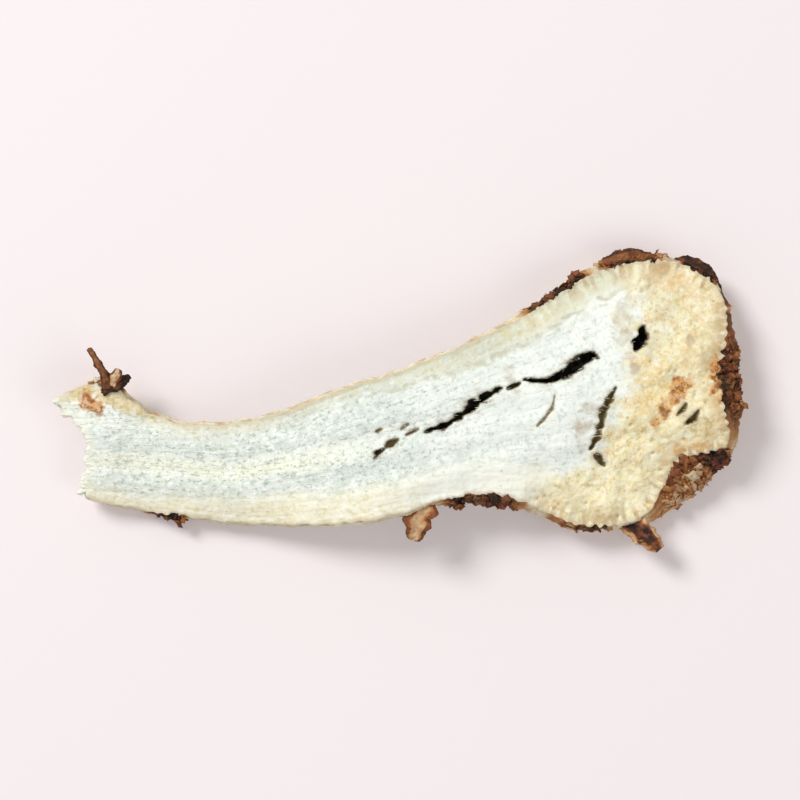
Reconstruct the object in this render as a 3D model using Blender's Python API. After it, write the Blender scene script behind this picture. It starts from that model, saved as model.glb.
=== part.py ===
"""One dried lengthwise slice of angelica root: a rounded crown, a tapering body and a torn tail.

It is one grown piece, so it is one solid: two cut faces, and the wrinkled bark round the edge
between them.
The slice has dried crooked and stands on three small flat spots. Run it in Blender, or with:
    blender --background --python part.py

Lengths are in millimetres, and become metres where the mesh is made. +X runs from the tail to the
crown, and +Z is up from the surface that the slice lies on."""

import math
import random

import bmesh
import bpy
from mathutils import Vector, noise
from mathutils.geometry import delaunay_2d_cdt
from mathutils.kdtree import KDTree

MM = 0.001
SEED = 7
LAYER_STEP = 9.7  # between two unlike layers of noise

# Driving sizes
TAIL_THICKNESS = 2.3
HEAD_THICKNESS = 3.3
RIM_SHARE = 0.74  # the rim's thickness as a share of the thickness further in
RIM_WIDTH = 3.2
TAIL_X = -36.0
CROWN_X = 36.0

# The outermost line of the bark seen from above, anticlockwise from the torn tip of the tail. The
# third value is how far the upper cut face stands in from it.
OUTLINE = (
    (-36.1, 0.2, 0.15), (-35.0, -0.9, 0.15), (-33.3, -2.9, 0.2), (-32.7, -5.2, 0.2), (-33.0, -7.6, 0.2),
    (-33.3, -9.9, 0.2), (-28.6, -11.3, 0.3), (-22.8, -12.3, 0.4), (-16.4, -13.0, 0.4), (-9.5, -13.1, 0.4),
    (-3.2, -12.6, 0.5), (1.1, -11.8, 0.6), (5.0, -10.8, 0.9), (9.5, -10.7, 1.2), (14.0, -11.9, 1.0),
    (18.0, -13.4, 0.8), (22.3, -13.6, 0.8), (26.3, -12.9, 1.4), (29.2, -11.3, 3.0), (31.6, -9.5, 4.4),
    (33.6, -7.5, 3.3), (35.3, -4.8, 1.4), (35.9, -0.8, 2.4), (35.7, 3.4, 2.7), (35.2, 7.4, 1.4),
    (34.2, 11.1, 0.7),
    (32.1, 13.9, 0.8), (28.6, 15.4, 0.7), (24.4, 15.6, 1.0), (20.1, 14.5, 1.0), (16.4, 12.3, 0.9),
    (12.2, 9.5, 0.8), (8.0, 7.1, 0.5), (3.7, 5.1, 0.4), (-0.5, 3.4, 0.4), (-5.8, 1.8, 0.4),
    (-11.1, -0.2, 0.4), (-16.2, -1.6, 0.4), (-20.7, -1.9, 0.4), (-24.6, -1.3, 0.4), (-27.4, 0.3, 0.4),
    (-28.9, 1.9, 0.5), (-31.5, 2.4, 0.4), (-34.1, 1.4, 0.3),
)
BODY_STEP = 0.8
DETAIL_STEP = 0.47  # round the crown and across the torn tail

# The root's own axis, which its fibres follow, from the tail to the crown
AXIS = (
    (-36.0, -5.2), (-26.0, -6.9), (-16.0, -7.3), (-6.0, -5.5), (4.0, -3.0), (14.0, -0.5), (24.0, 1.2),
    (36.0, 1.8),
)

# The warp of drying: an arch along the slice, a cupped head, a twisted tail and a frilled rim
ARCH_RISE = 3.4
ARCH_WAVE = 51.0
CUP_RISE = 1.7
CUP_HALF_WIDTH = 11.0
TAIL_TWIST = 0.16  # rise per millimetre across the tail
FRILL = 0.75
FRILL_WIDTH = 5.5
FRILL_SCALE = 6.5
DENT = 0.35
DENT_SCALE = 9.0

# Relief of the cut faces
FIBRE_RELIEF = 0.25
FIBRE_PITCH = 1.9
FIBRE_LENGTH = 16.0
CROWN_RELIEF = 0.5
CROWN_SCALE = 2.3
CORTEX_SINK = 0.05
CAMBIUM_GROOVE = 0.2
CAMBIUM_HALF_WIDTH = 0.45
CAMBIUM_PULL = 0.32  # points of the mesh this near the groove are drawn to its bottom

# Bark
BARK_RINGS = 5
SCALLOP_PITCH = 1.3
SCALLOP_DRIFT = 3.0  # how far the noise shifts the scallops, in radians
SCALLOP_DRIFT_SCALE = 4.0
SCALLOP = 0.42
BODY_WRINKLE = 0.2
BODY_WRINKLE_SCALE = 1.6
TORN_FIBRE = 0.9
TORN_FIBRE_SCALE = 0.8
BARK_LUMP = 0.3
BARK_LUMP_SCALE = 1.7
BARK_DEPTH = 4.0  # over which the lumps change from the upper edge to the lower one
ROUGH_LUMP = 1.0
ROUGH_LIFT = 1.1  # how far rough bark stands up beside the cut face
LOWER_EDGE_INSET = 0.35

# Where the bark is rough: a place on the rim, and how far the roughness reaches from it
ROUGH_BARK = (
    (24.0, 15.4, 4.6), (31.8, 14.0, 2.6), (36.0, 2.6, 5.0), (32.3, -9.0, 6.5), (15.9, 11.8, 4.6),
    (8.4, -10.6, 5.0), (19.5, -13.4, 3.4), (-24.0, -12.2, 2.4), (-30.2, 2.2, 2.6),
)

# Triangles of the cut faces
GRID = 1.02
GRID_JITTER = 0.16
EDGE_CLEARANCE = 0.55

# Fissures and pits: the line along the bottom of each, its greatest width and its greatest depth
UPPER_FISSURES = (
    (((12.9, 2.2), (15.8, 2.2), (17.8, 3.7), (20.6, 5.2)), 1.15, 1.9),
    (((2.6, -3.0), (5.0, -2.3), (7.4, -0.6), (10.0, 1.4), (12.1, 1.8)), 1.0, 1.6),
    (((-2.4, -5.5), (-0.8, -4.1), (1.7, -3.0)), 0.6, 0.6),
    (((25.5, 8.1), (25.4, 6.8), (24.5, 5.1)), 1.3, 1.9),
    (((22.2, 1.4), (20.8, -1.6), (19.8, -4.7)), 1.1, 1.5),
    (((20.3, -5.4), (21.2, -6.5)), 0.8, 0.9),
    (((30.9, -0.8), (29.8, -2.2)), 0.9, 0.9),
    (((29.6, -0.1), (28.7, -1.4)), 0.6, 0.6),
    (((15.9, 0.8), (14.3, -2.3)), 0.5, 0.4),
)
LOWER_FISSURES = (
    (((-8.0, -6.6), (-1.0, -4.6), (5.5, -2.6), (9.5, -1.6)), 1.0, 1.1),
    (((17.5, 4.4), (20.5, 2.6), (22.0, -0.6)), 1.2, 1.2),
)
FISSURE_STEP = 0.72
FISSURE_RAGGED = 0.75
FISSURE_RAGGED_SCALE = 0.9
STAIN_HOLLOW = (29.2, 2.2)
STAIN_RADIUS = 2.6
STAIN_DEPTH = 0.55

STRAND_LUMP = 0.6  # how much the radius of a strand of bark varies

# Strands of bark that are fused to the rim: the way each runs, as x, y and the height above the
# middle of the slice, with its radius there, then its height as a share of its width and its sides
STRANDS = (
    # the knot of skin at the tail, its rootlet and the rootlet's stub
    (((-31.4, 0.7, 0.3, 0.3), (-30.6, 1.2, 0.7, 0.55), (-29.8, 1.7, 0.9, 0.7), (-29.1, 2.1, 0.9, 0.7),
      (-28.5, 2.4, 0.7, 0.55), (-27.9, 2.8, 0.6, 0.3)), 0.6, 8),
    (((-30.2, 1.5, 0.8, 0.6), (-30.4, 2.5, 1.2, 0.55), (-30.7, 3.3, 1.5, 0.48), (-31.1, 4.0, 1.6, 0.44),
      (-31.5, 4.8, 1.7, 0.4), (-32.0, 5.5, 1.7, 0.34)), 1.0, 7),
    (((-29.8, 1.7, 1.0, 0.55), (-29.5, 2.4, 1.2, 0.65), (-29.2, 3.0, 1.3, 0.6), (-29.0, 3.5, 1.4, 0.36)),
     0.75, 7),
    # the tab of skin under the neck
    (((2.9, -9.8, -0.1, 1.0), (2.5, -10.9, 0.3, 1.3), (2.0, -12.1, 0.5, 1.35), (1.7, -13.2, 0.3, 1.15),
      (1.4, -14.2, -0.2, 0.7)), 0.42, 9),
    # the torn tongue of skin under the crown
    (((23.4, -11.9, 0.0, 1.0), (24.5, -12.8, 0.3, 1.35), (25.5, -13.7, 0.4, 1.25), (26.4, -14.6, 0.4, 0.95),
      (27.0, -15.2, 0.2, 0.6)), 0.42, 9),
    # the lifted edge at the corner of the crown, and the crust over its top
    (((28.6, 14.9, 0.5, 0.3), (29.9, 14.8, 0.7, 0.5), (31.3, 14.2, 0.8, 0.7), (32.3, 13.2, 0.7, 0.7),
      (33.0, 12.1, 0.5, 0.5), (33.4, 11.3, 0.4, 0.3)), 0.6, 7),
    (((21.2, 14.7, 0.4, 0.4), (22.6, 15.0, 0.5, 0.7), (24.2, 15.3, 0.5, 0.8), (25.6, 15.2, 0.5, 0.65),
      (26.8, 15.1, 0.4, 0.35)), 0.7, 8),
)
STRAND_LUMP = 0.6  # how much the radius of a strand varies

# Knuckles of bark: how many are set over each stretch of the rim, their least and greatest radius,
# and the stretch as the least and greatest x and y
KNUCKLES = (
    (2, 0.8, 1.1, (20.5, 29.0, 13.0, 17.0)),
    (7, 0.8, 1.3, (28.0, 37.0, -13.0, -4.5)),
    (3, 0.8, 1.1, (33.5, 37.0, 0.0, 6.0)),
    (3, 0.6, 0.8, (11.5, 19.5, 8.0, 14.5)),
    (4, 0.6, 0.9, (4.5, 12.5, -12.0, -9.0)),
    (2, 0.6, 0.8, (15.5, 21.5, -14.5, -11.0)),
    (2, 0.6, 0.8, (-27.0, -20.5, -13.5, -10.5)),
)

# The three flat spots that the slice stands on
FEET = ((-25.5, -9.2), (24.0, 11.2), (21.0, -10.6))
FOOT_RADIUS = 1.35
FOOT_BLEND = 3.4
FOOT_CORNERS = 6
CLEAR_OF_FLOOR = 0.25

FLESH_COLOUR = (0.82, 0.74, 0.55, 1.0)


def smooth(low, high, value):
    share = min(max((value - low) / (high - low), 0.0), 1.0)
    return share * share * (3.0 - 2.0 * share)


def noise_at(x, y, scale, layer, z=0.0):
    """Smooth noise from about -1 to 1. Each layer number gives another pattern."""
    return noise.noise(Vector((x / scale, y / scale, z / scale + LAYER_STEP * layer)))


def curve_point(points, place, closed):
    """The point at a place on a smooth curve: 0 is the first of the given points, 1 the second."""
    count = len(points)
    index = math.floor(place)
    share = place - index

    def pick(step):
        if closed:
            return points[(index + step) % count]
        return points[min(max(index + step, 0), count - 1)]

    a, b, c, d = pick(-1), pick(0), pick(1), pick(2)
    return tuple(
        0.5 * (2 * b[k] + (c[k] - a[k]) * share + (2 * a[k] - 5 * b[k] + 4 * c[k] - d[k]) * share ** 2
               + (3 * b[k] - a[k] - 3 * c[k] + d[k]) * share ** 3)
        for k in range(len(b)))


def walk(points, step_at, closed):
    """Points of the curve, set about step_at(x, y) apart in the plane."""
    fine = 16
    spans = len(points) if closed else len(points) - 1
    dense = [curve_point(points, k / fine, closed) for k in range(spans * fine + 1)]
    reach = [0.0]
    for start, end in zip(dense, dense[1:]):
        reach.append(reach[-1] + math.dist(start[:2], end[:2]) / step_at(*start[:2]))
    count = max(2, round(reach[-1]))
    found = []
    here = 0
    for k in range(count if closed else count + 1):
        wanted = reach[-1] * k / count
        while here < len(reach) - 2 and reach[here + 1] < wanted:
            here += 1
        share = (wanted - reach[here]) / (reach[here + 1] - reach[here])
        found.append(tuple(a + (b - a) * share for a, b in zip(dense[here], dense[here + 1])))
    return found


def rim_step(x, y):
    detail = max(smooth(2.0, 8.0, x), smooth(-30.0, -32.0, x))
    return BODY_STEP + (DETAIL_STEP - BODY_STEP) * detail


def off_axis(x, y):
    """Distance from the root's axis, positive above it."""
    for start, end in zip(AXIS, AXIS[1:]):
        if x <= end[0]:
            break
    return y - (start[1] + (end[1] - start[1]) * smooth(start[0], end[0], x))


def crown_share(x, y):
    """0 in the wood and 1 in the crown, whose border leans across the head."""
    return smooth(-1.5, 1.5, x - (21.7 + 0.45 * y))


def sheet_height(x, y, edge):
    """The warped middle of the slice. edge is the distance from the rim."""
    across = off_axis(x, y)
    arch = ARCH_RISE * 0.5 * (1 + math.cos(2 * math.pi * x / ARCH_WAVE))
    cup = CUP_RISE * 0.5 * (1 + math.cos(math.pi * across / CUP_HALF_WIDTH)) * smooth(6.0, 20.0, x)
    twist = TAIL_TWIST * across * smooth(4.0, -26.0, x)
    frill = FRILL * smooth(FRILL_WIDTH, 0.0, edge) * noise_at(x, y, FRILL_SCALE, 1)
    dent = DENT * noise_at(x, y, DENT_SCALE, 2)
    return arch + cup + twist + frill + dent


def thickness(x, edge):
    along = (x - TAIL_X) / (CROWN_X - TAIL_X)
    body = TAIL_THICKNESS + (HEAD_THICKNESS - TAIL_THICKNESS) * smooth(0.25, 0.85, along)
    return body * (RIM_SHARE + (1.0 - RIM_SHARE) * smooth(0.0, RIM_WIDTH, edge))


def cambium_depth(x):
    """How far in from the rim the line between wood and inner bark runs."""
    return 1.7 + 2.4 * smooth(-14.0, 22.0, x)


def face_relief(x, y, edge, side):
    """Relief of a cut face, outwards. side is 1 for the upper face and -1 for the lower one."""
    across = off_axis(x, y)
    crown = crown_share(x, y)
    miss = edge - cambium_depth(x)
    fibres = FIBRE_RELIEF * noise_at(x * FIBRE_PITCH / FIBRE_LENGTH, across, FIBRE_PITCH, 4 * side)
    mottle = CROWN_RELIEF * noise_at(x, y, CROWN_SCALE, 3 * side)
    cortex = -CORTEX_SINK * smooth(0.8, -0.8, miss)
    groove = -CAMBIUM_GROOVE * math.exp(-((miss / CAMBIUM_HALF_WIDTH) ** 2)) * (1 - 0.7 * crown)
    hollow = 0.0
    if side > 0:
        reach = math.dist((x, y), STAIN_HOLLOW) / STAIN_RADIUS
        hollow = -STAIN_DEPTH * math.exp(-reach * reach)
    return fibres * (1 - crown) + mottle * (0.25 + 0.75 * crown) + cortex + groove + hollow


class Rim:
    """One closed line of points round the slice, which tells how far a place is from it."""

    def __init__(self, points):
        self.points = points
        self.tree = KDTree(len(points))
        for index, point in enumerate(points):
            self.tree.insert((point[0], point[1], 0.0), index)
        self.tree.balance()

    def distance(self, x, y):
        return self.tree.find((x, y, 0.0))[2]

    def holds(self, x, y):
        """True for a place inside the line."""
        inside = False
        for (x1, y1), (x2, y2) in zip(self.points, self.points[1:] + self.points[:1]):
            if (y1 > y) != (y2 > y) and x < x1 + (x2 - x1) * (y - y1) / (y2 - y1):
                inside = not inside
        return inside

    def drawn_to_groove(self, x, y):
        """The same place, or the bottom of the groove between wood and inner bark where that is near."""
        nearest, _, edge = self.tree.find((x, y, 0.0))
        miss = cambium_depth(x) - edge
        if abs(miss) > CAMBIUM_PULL:
            return x, y
        return x + (x - nearest.x) / edge * miss, y + (y - nearest.y) / edge * miss


def roughness(x, y):
    """How rough the bark is at a place on the rim, from 0 to 1."""
    return max(
        smooth(reach, 0.45 * reach, math.dist((x, y), (mid_x, mid_y)))
        for mid_x, mid_y, reach in ROUGH_BARK)


def bark_rings():
    """The bark's lines round the slice, from the upper face's edge to the lower one's. Each point is
    a place in the plane and how far the bark is lifted there from an even slope between the faces."""
    samples = walk(OUTLINE, rim_step, closed=True)
    rings = [[] for _ in range(BARK_RINGS + 1)]
    reach = 0.0
    for k, (x, y, slope) in enumerate(samples):
        ahead = samples[(k + 1) % len(samples)]
        behind = samples[k - 1]
        normal = Vector((ahead[1] - behind[1], behind[0] - ahead[0])).normalized()
        reach += math.dist(behind[:2], (x, y))
        crown = smooth(4.0, 22.0, x)
        rough = roughness(x, y)
        torn = smooth(-30.5, -32.5, x) * smooth(0.3, 0.8, -normal.x)
        drift = SCALLOP_DRIFT * noise_at(x, y, SCALLOP_DRIFT_SCALE, 5)
        scallop = SCALLOP * (abs(math.sin(math.pi * reach / SCALLOP_PITCH + drift)) - 0.6)
        wrinkle = BODY_WRINKLE * noise_at(x, y, BODY_WRINKLE_SCALE, 6)
        fibre = TORN_FIBRE * noise_at(0.0, y, TORN_FIBRE_SCALE, 7)
        tooth = scallop * crown + wrinkle * (1 - crown) + fibre * torn
        for number, ring in enumerate(rings):
            down = number / BARK_RINGS
            inset = slope * (1 - down) ** 1.4 + LOWER_EDGE_INSET * down ** 3
            swell = math.sin(math.pi * down)
            size = BARK_LUMP + (ROUGH_LUMP - BARK_LUMP) * rough
            lump = size * swell * noise_at(x, y, BARK_LUMP_SCALE, 8, BARK_DEPTH * down)
            lift = ROUGH_LIFT * rough * swell * abs(noise_at(x, y, BARK_LUMP_SCALE, 9))
            place = Vector((x, y)) + normal * (tooth * (1 - 0.6 * down) + lump - inset)
            ring.append((place.x, place.y, lift))
    return rings


def fissure(line, width, depth):
    """The lips of a fissure, anticlockwise, its floor points, and how deep each floor point is."""
    floor = walk(line, lambda x, y: FISSURE_STEP, closed=False)
    last = len(floor) - 1
    left, right, depths = [], [], []
    for k in range(1, last):
        swell = math.sin(math.pi * k / last) ** 0.7
        direction = Vector(floor[k + 1]) - Vector(floor[k - 1])
        side = Vector((-direction.y, direction.x)).normalized()
        for lip, turn in ((left, 1), (right, -1)):
            ragged = 1 + FISSURE_RAGGED * noise_at(*floor[k], FISSURE_RAGGED_SCALE, 10 * turn)
            lip.append(tuple(Vector(floor[k]) + side * (turn * 0.5 * width * swell * ragged)))
        depths.append(depth * swell)
    lips = [floor[0]] + right + [floor[-1]] + left[::-1]
    return lips, floor[1:-1], depths


def foot_corners(foot):
    return [
        (foot[0] + FOOT_RADIUS * math.cos(2 * math.pi * k / FOOT_CORNERS),
         foot[1] + FOOT_RADIUS * math.sin(2 * math.pi * k / FOOT_CORNERS))
        for k in range(FOOT_CORNERS)]


def grid_points(rim, loops, chance):
    """A jittered triangular grid inside the rim, clear of it and of the loops."""
    barriers = [Rim(loop) for loop in loops]
    low = [min(p[k] for p in rim.points) for k in (0, 1)]
    high = [max(p[k] for p in rim.points) for k in (0, 1)]
    found = []
    row = 0
    y = low[1]
    while y < high[1]:
        x = low[0] + (row % 2) * GRID / 2
        while x < high[0]:
            place = (x + chance.uniform(-1, 1) * GRID_JITTER, y + chance.uniform(-1, 1) * GRID_JITTER)
            x += GRID
            if rim.distance(*place) < EDGE_CLEARANCE or not rim.holds(*place):
                continue
            place = rim.drawn_to_groove(*place)
            if any(b.distance(*place) < EDGE_CLEARANCE or b.holds(*place) for b in barriers):
                continue
            found.append(place)
        y += GRID * math.sqrt(3) / 2
        row += 1
    return found


class Face:
    """A cut face: its rim, its points in the plane with their depths below the surface, and its triangles."""

    def __init__(self, ring, fissures, feet, chance):
        line = [(x, y) for x, y, _ in ring]
        self.rim = Rim(line)
        self.places = []
        self.sunk = []
        self.edges = []
        self.add_loop(line)
        for lips, floor, depths in fissures:
            self.add_loop(lips)
            self.add_points(floor, depths)
        for foot in feet:
            self.add_loop(foot_corners(foot))
            self.add_points([foot], [0.0])
        barriers = [lips for lips, _, _ in fissures] + [foot_corners(foot) for foot in feet]
        grid = grid_points(self.rim, barriers, chance)
        self.add_points(grid, [0.0] * len(grid))
        flat = [Vector(place) for place in self.places]
        points, _, triangles, sources, _, _ = delaunay_2d_cdt(flat, self.edges, [], 0, 1e-5, True)
        if len(points) != len(flat):
            raise ValueError("two lines of a cut face cross")
        triangles = [[sources[corner][0] for corner in triangle] for triangle in triangles]
        self.triangles = [triangle for triangle in triangles if self.is_inside(triangle)]

    def add_points(self, places, sunk):
        self.places += places
        self.sunk += sunk

    def add_loop(self, loop):
        start = len(self.places)
        self.edges += [(start + k, start + (k + 1) % len(loop)) for k in range(len(loop))]
        self.add_points(loop, [0.0] * len(loop))

    def is_inside(self, triangle):
        """False for a triangle that only spans a bay of the rim."""
        if max(triangle) >= len(self.rim.points):
            return True
        corners = [self.places[k] for k in triangle]
        return self.rim.holds(sum(p[0] for p in corners) / 3, sum(p[1] for p in corners) / 3)


class Slice:
    """The heights of both faces, once the slice stands on its feet."""

    def __init__(self, upper, lower):
        self.upper = upper
        self.lower = lower
        self.tilt = (0.0, 0.0, 0.0)
        self.stand()

    def middle(self, x, y, edge):
        a, b, c = self.tilt
        return sheet_height(x, y, edge) - (a * x + b * y + c)

    def top(self, x, y):
        edge = self.upper.rim.distance(x, y)
        return self.middle(x, y, edge) + thickness(x, edge) / 2 + face_relief(x, y, edge, 1)

    def raw_bottom(self, x, y):
        edge = self.lower.rim.distance(x, y)
        return self.middle(x, y, edge) - thickness(x, edge) / 2 - face_relief(x, y, edge, -1)

    def bottom(self, x, y):
        """The lower face, drawn down to the floor at each foot."""
        height = self.raw_bottom(x, y)
        for foot in FEET:
            height *= smooth(FOOT_RADIUS * 1.01, FOOT_BLEND, math.dist((x, y), foot))
        return height

    def stand(self):
        """Tilts the slice level on its three feet, and lifts the rest of it clear of the floor."""
        a, b, c = (Vector((*foot, self.raw_bottom(*foot))) for foot in FEET)
        normal = (b - a).cross(c - a)
        slope_x = -normal.x / normal.z
        slope_y = -normal.y / normal.z
        self.tilt = (slope_x, slope_y, a.z - slope_x * a.x - slope_y * a.y)
        lowest = min(self.raw_bottom(*place) for place in self.lower.places)
        self.tilt = (slope_x, slope_y, self.tilt[2] + lowest - CLEAR_OF_FLOOR)


def slice_mesh(body, bark):
    """The two cut faces and the bark between them, as one closed mesh in millimetres."""
    mesh = bmesh.new()
    upper = [
        mesh.verts.new((*p, body.top(*p) - sunk)) for p, sunk in zip(body.upper.places, body.upper.sunk)]
    lower = [
        mesh.verts.new((*p, body.bottom(*p) + sunk)) for p, sunk in zip(body.lower.places, body.lower.sunk)]
    count = len(bark[0])
    rings = [upper[:count]]
    for number, ring in enumerate(bark[1:-1], 1):
        down = number / BARK_RINGS
        rings.append([
            mesh.verts.new((x, y, upper[k].co.z + (lower[k].co.z - upper[k].co.z) * down + lift))
            for k, (x, y, lift) in enumerate(ring)])
    rings.append(lower[:count])
    for corners in body.upper.triangles:
        mesh.faces.new([upper[k] for k in corners])
    for corners in body.lower.triangles:
        mesh.faces.new([lower[k] for k in reversed(corners)])
    for above, below in zip(rings, rings[1:]):
        for k in range(count):
            ahead = (k + 1) % count
            mesh.faces.new((above[k], below[k], below[ahead]))
            mesh.faces.new((above[k], below[ahead], above[ahead]))
    bmesh.ops.recalc_face_normals(mesh, faces=mesh.faces)
    return mesh


def strand_mesh(way, flatness, sides, seed):
    """A lumpy strand of bark along the way, with rounded ends. Each point of the way holds its radius."""
    mesh = bmesh.new()
    points = [Vector(p[:3]) for p in way]
    rings = []
    for k, point in enumerate(points):
        direction = (points[min(k + 1, len(points) - 1)] - points[max(k - 1, 0)]).normalized()
        side = direction.cross(Vector((0, 0, 1))).normalized()
        up = side.cross(direction)
        ring = []
        for s in range(sides):
            angle = 2 * math.pi * s / sides
            lump = 1 + STRAND_LUMP * noise_at(k, 2 * s, 1.1, seed + 11)
            out = side * math.cos(angle) + up * math.sin(angle) * flatness
            ring.append(mesh.verts.new(point + out * way[k][3] * lump))
        rings.append(ring)
    for first, second in zip(rings, rings[1:]):
        for s in range(sides):
            ahead = (s + 1) % sides
            mesh.faces.new((first[s], first[ahead], second[ahead], second[s]))
    for ring, point, before, radius in (
            (rings[0], points[0], points[1], way[0][3]), (rings[-1], points[-1], points[-2], way[-1][3])):
        tip = mesh.verts.new(point + (point - before).normalized() * radius * 0.6)
        for s in range(sides):
            mesh.faces.new((ring[s], ring[(s + 1) % sides], tip))
    bmesh.ops.triangulate(mesh, faces=mesh.faces)
    bmesh.ops.recalc_face_normals(mesh, faces=mesh.faces)
    return mesh


def knuckles(body, bark, chance):
    """Short lumps of bark sunk in the rim, in the same form as the strands."""
    middle = bark[BARK_RINGS // 2]
    found = []
    for count, least, most, (low_x, high_x, low_y, high_y) in KNUCKLES:
        inside = [
            k for k, (x, y, _) in enumerate(middle) if low_x < x < high_x and low_y < y < high_y]
        for n in range(count):
            k = inside[round((n + 0.5) / count * (len(inside) - 1))]
            radius = chance.uniform(least, most)
            number = chance.choice((1, 2, 3))
            ring = bark[number]
            x, y, lift = ring[k]
            ahead = Vector(ring[(k + 1) % len(ring)][:2]) - Vector(ring[k - 1][:2])
            along = ahead.normalized()
            rise = chance.uniform(-0.3, 0.3)
            z = body.middle(x, y, 0.0) + lift * 0.5 + (0.4 - number / BARK_RINGS) * thickness(x, 0.0)
            reach = radius * chance.uniform(0.7, 1.2)
            way = (
                (x - along.x * reach, y - along.y * reach, z - rise, radius * 0.6),
                (x, y, z, radius),
                (x + along.x * reach, y + along.y * reach, z + rise, radius * 0.6))
            found.append((way, chance.uniform(0.55, 0.85), 6))
    return found


def root_material():
    material = bpy.data.materials.new("dried root")
    material.use_nodes = True
    shader = material.node_tree.nodes["Principled BSDF"]
    shader.inputs["Base Color"].default_value = FLESH_COLOUR
    shader.inputs["Roughness"].default_value = 0.85
    shader.inputs["Metallic"].default_value = 0.0
    return material


def new_object(name, mesh, material, collection):
    """Puts a mesh made in millimetres in the collection, in metres."""
    bmesh.ops.scale(mesh, vec=(MM, MM, MM), verts=mesh.verts)
    data = bpy.data.meshes.new(name)
    mesh.to_mesh(data)
    mesh.free()
    data.materials.append(material)
    made = bpy.data.objects.new(name, data)
    collection.objects.link(made)
    return made


def fuse(slab, strands, material):
    """Joins the strands to the slice with one Boolean union, and removes them."""
    helpers = bpy.data.collections.new("strands")
    bpy.context.scene.collection.children.link(helpers)
    for number, strand in enumerate(strands):
        new_object(f"strand_{number}", strand_mesh(*strand, number), material, helpers)
    joined = slab.modifiers.new("fuse", "BOOLEAN")
    joined.operation = "UNION"
    joined.solver = "EXACT"
    joined.operand_type = "COLLECTION"
    joined.collection = helpers
    graph = bpy.context.evaluated_depsgraph_get()
    whole = bpy.data.meshes.new_from_object(slab.evaluated_get(graph))
    slab.modifiers.clear()
    slab.data = whole
    for helper in list(helpers.objects):
        bpy.data.objects.remove(helper)
    bpy.data.collections.remove(helpers)


def centre_on_origin(made):
    """Puts the middle of the slice's box over the origin, with its feet at height 0."""
    low = [min(v.co[k] for v in made.data.vertices) for k in range(3)]
    high = [max(v.co[k] for v in made.data.vertices) for k in range(3)]
    shift = Vector((-(low[0] + high[0]) / 2, -(low[1] + high[1]) / 2, -low[2]))
    for vertex in made.data.vertices:
        vertex.co += shift


def root_slice():
    chance = random.Random(SEED)
    bark = bark_rings()
    upper = Face(bark[0], [fissure(*f) for f in UPPER_FISSURES], (), chance)
    lower = Face(bark[-1], [fissure(*f) for f in LOWER_FISSURES], FEET, chance)
    body = Slice(upper, lower)
    strands = []
    for way, flatness, sides in STRANDS:
        lifted = [(x, y, body.middle(x, y, 0.0) + rise, radius) for x, y, rise, radius in way]
        strands.append((lifted, flatness, sides))
    material = root_material()
    made = new_object("root_slice", slice_mesh(body, bark), material, bpy.context.scene.collection)
    fuse(made, strands + knuckles(body, bark, chance), material)
    centre_on_origin(made)
    made.data.shade_smooth()
    made.data.set_sharp_from_angle(angle=math.radians(50))
    return made


def main():
    for leftover in list(bpy.data.objects):
        bpy.data.objects.remove(leftover)
    root_slice()


main()
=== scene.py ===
import math
from collections import namedtuple

import bpy
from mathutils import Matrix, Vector, noise
from mathutils.geometry import delaunay_2d_cdt
from mathutils.kdtree import KDTree


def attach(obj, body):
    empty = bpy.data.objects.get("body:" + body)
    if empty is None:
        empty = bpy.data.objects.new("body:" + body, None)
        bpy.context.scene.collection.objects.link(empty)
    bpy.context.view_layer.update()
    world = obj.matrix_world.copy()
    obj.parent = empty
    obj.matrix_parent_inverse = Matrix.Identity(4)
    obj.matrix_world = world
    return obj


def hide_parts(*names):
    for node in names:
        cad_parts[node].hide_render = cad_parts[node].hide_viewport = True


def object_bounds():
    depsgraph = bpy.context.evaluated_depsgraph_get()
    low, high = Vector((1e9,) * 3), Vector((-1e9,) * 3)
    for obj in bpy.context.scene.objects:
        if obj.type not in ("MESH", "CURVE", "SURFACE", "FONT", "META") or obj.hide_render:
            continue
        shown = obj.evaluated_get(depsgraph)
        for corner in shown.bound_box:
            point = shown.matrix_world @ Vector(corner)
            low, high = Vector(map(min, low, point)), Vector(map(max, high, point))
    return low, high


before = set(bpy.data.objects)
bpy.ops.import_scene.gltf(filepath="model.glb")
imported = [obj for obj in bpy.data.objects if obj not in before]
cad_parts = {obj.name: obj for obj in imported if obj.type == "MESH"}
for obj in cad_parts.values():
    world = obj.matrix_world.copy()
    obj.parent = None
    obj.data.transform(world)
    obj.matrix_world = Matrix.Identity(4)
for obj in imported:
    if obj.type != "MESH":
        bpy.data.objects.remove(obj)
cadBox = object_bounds()
print("frame loaded:", sorted(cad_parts))

# Shapes are worked out in millimetres on the outline's own axes: +X from the tail to the crown, +Z up.
mm = 0.001
outlineCentre = (0.054, 0.271)  # the point of the outline that lies over the frame's origin


# Camera, light and floor

stageLook = {
    "cameraHeight": 0.235,
    "lens": 100.0,
    "floorSize": 5.0,
    "floorColour": (245, 236, 237),
    "worldStrength": 0.5,
    "keyPower": 5.3,
    "keyPlace": (-0.50, 0.45, 0.60),
    "keySize": 0.34,
    "fillPower": 1.4,
    "fillPlace": (0.58, -0.36, 0.54),
    "fillSize": 0.6,
}


def linearColour(red, green, blue):
    shares = [value / 255 for value in (red, green, blue)]
    return tuple(s / 12.92 if s <= 0.04045 else ((s + 0.055) / 1.055) ** 2.4 for s in shares) + (1.0,)


def addLight(name, place, size, power):
    light = bpy.data.lights.new(name, "AREA")
    light.shape = "DISK"
    light.size = size
    light.energy = power
    lamp = bpy.data.objects.new(name, light)
    lamp.location = place
    lamp.rotation_euler = (-Vector(place)).to_track_quat("-Z", "Y").to_euler()
    bpy.context.scene.collection.objects.link(lamp)


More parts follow.
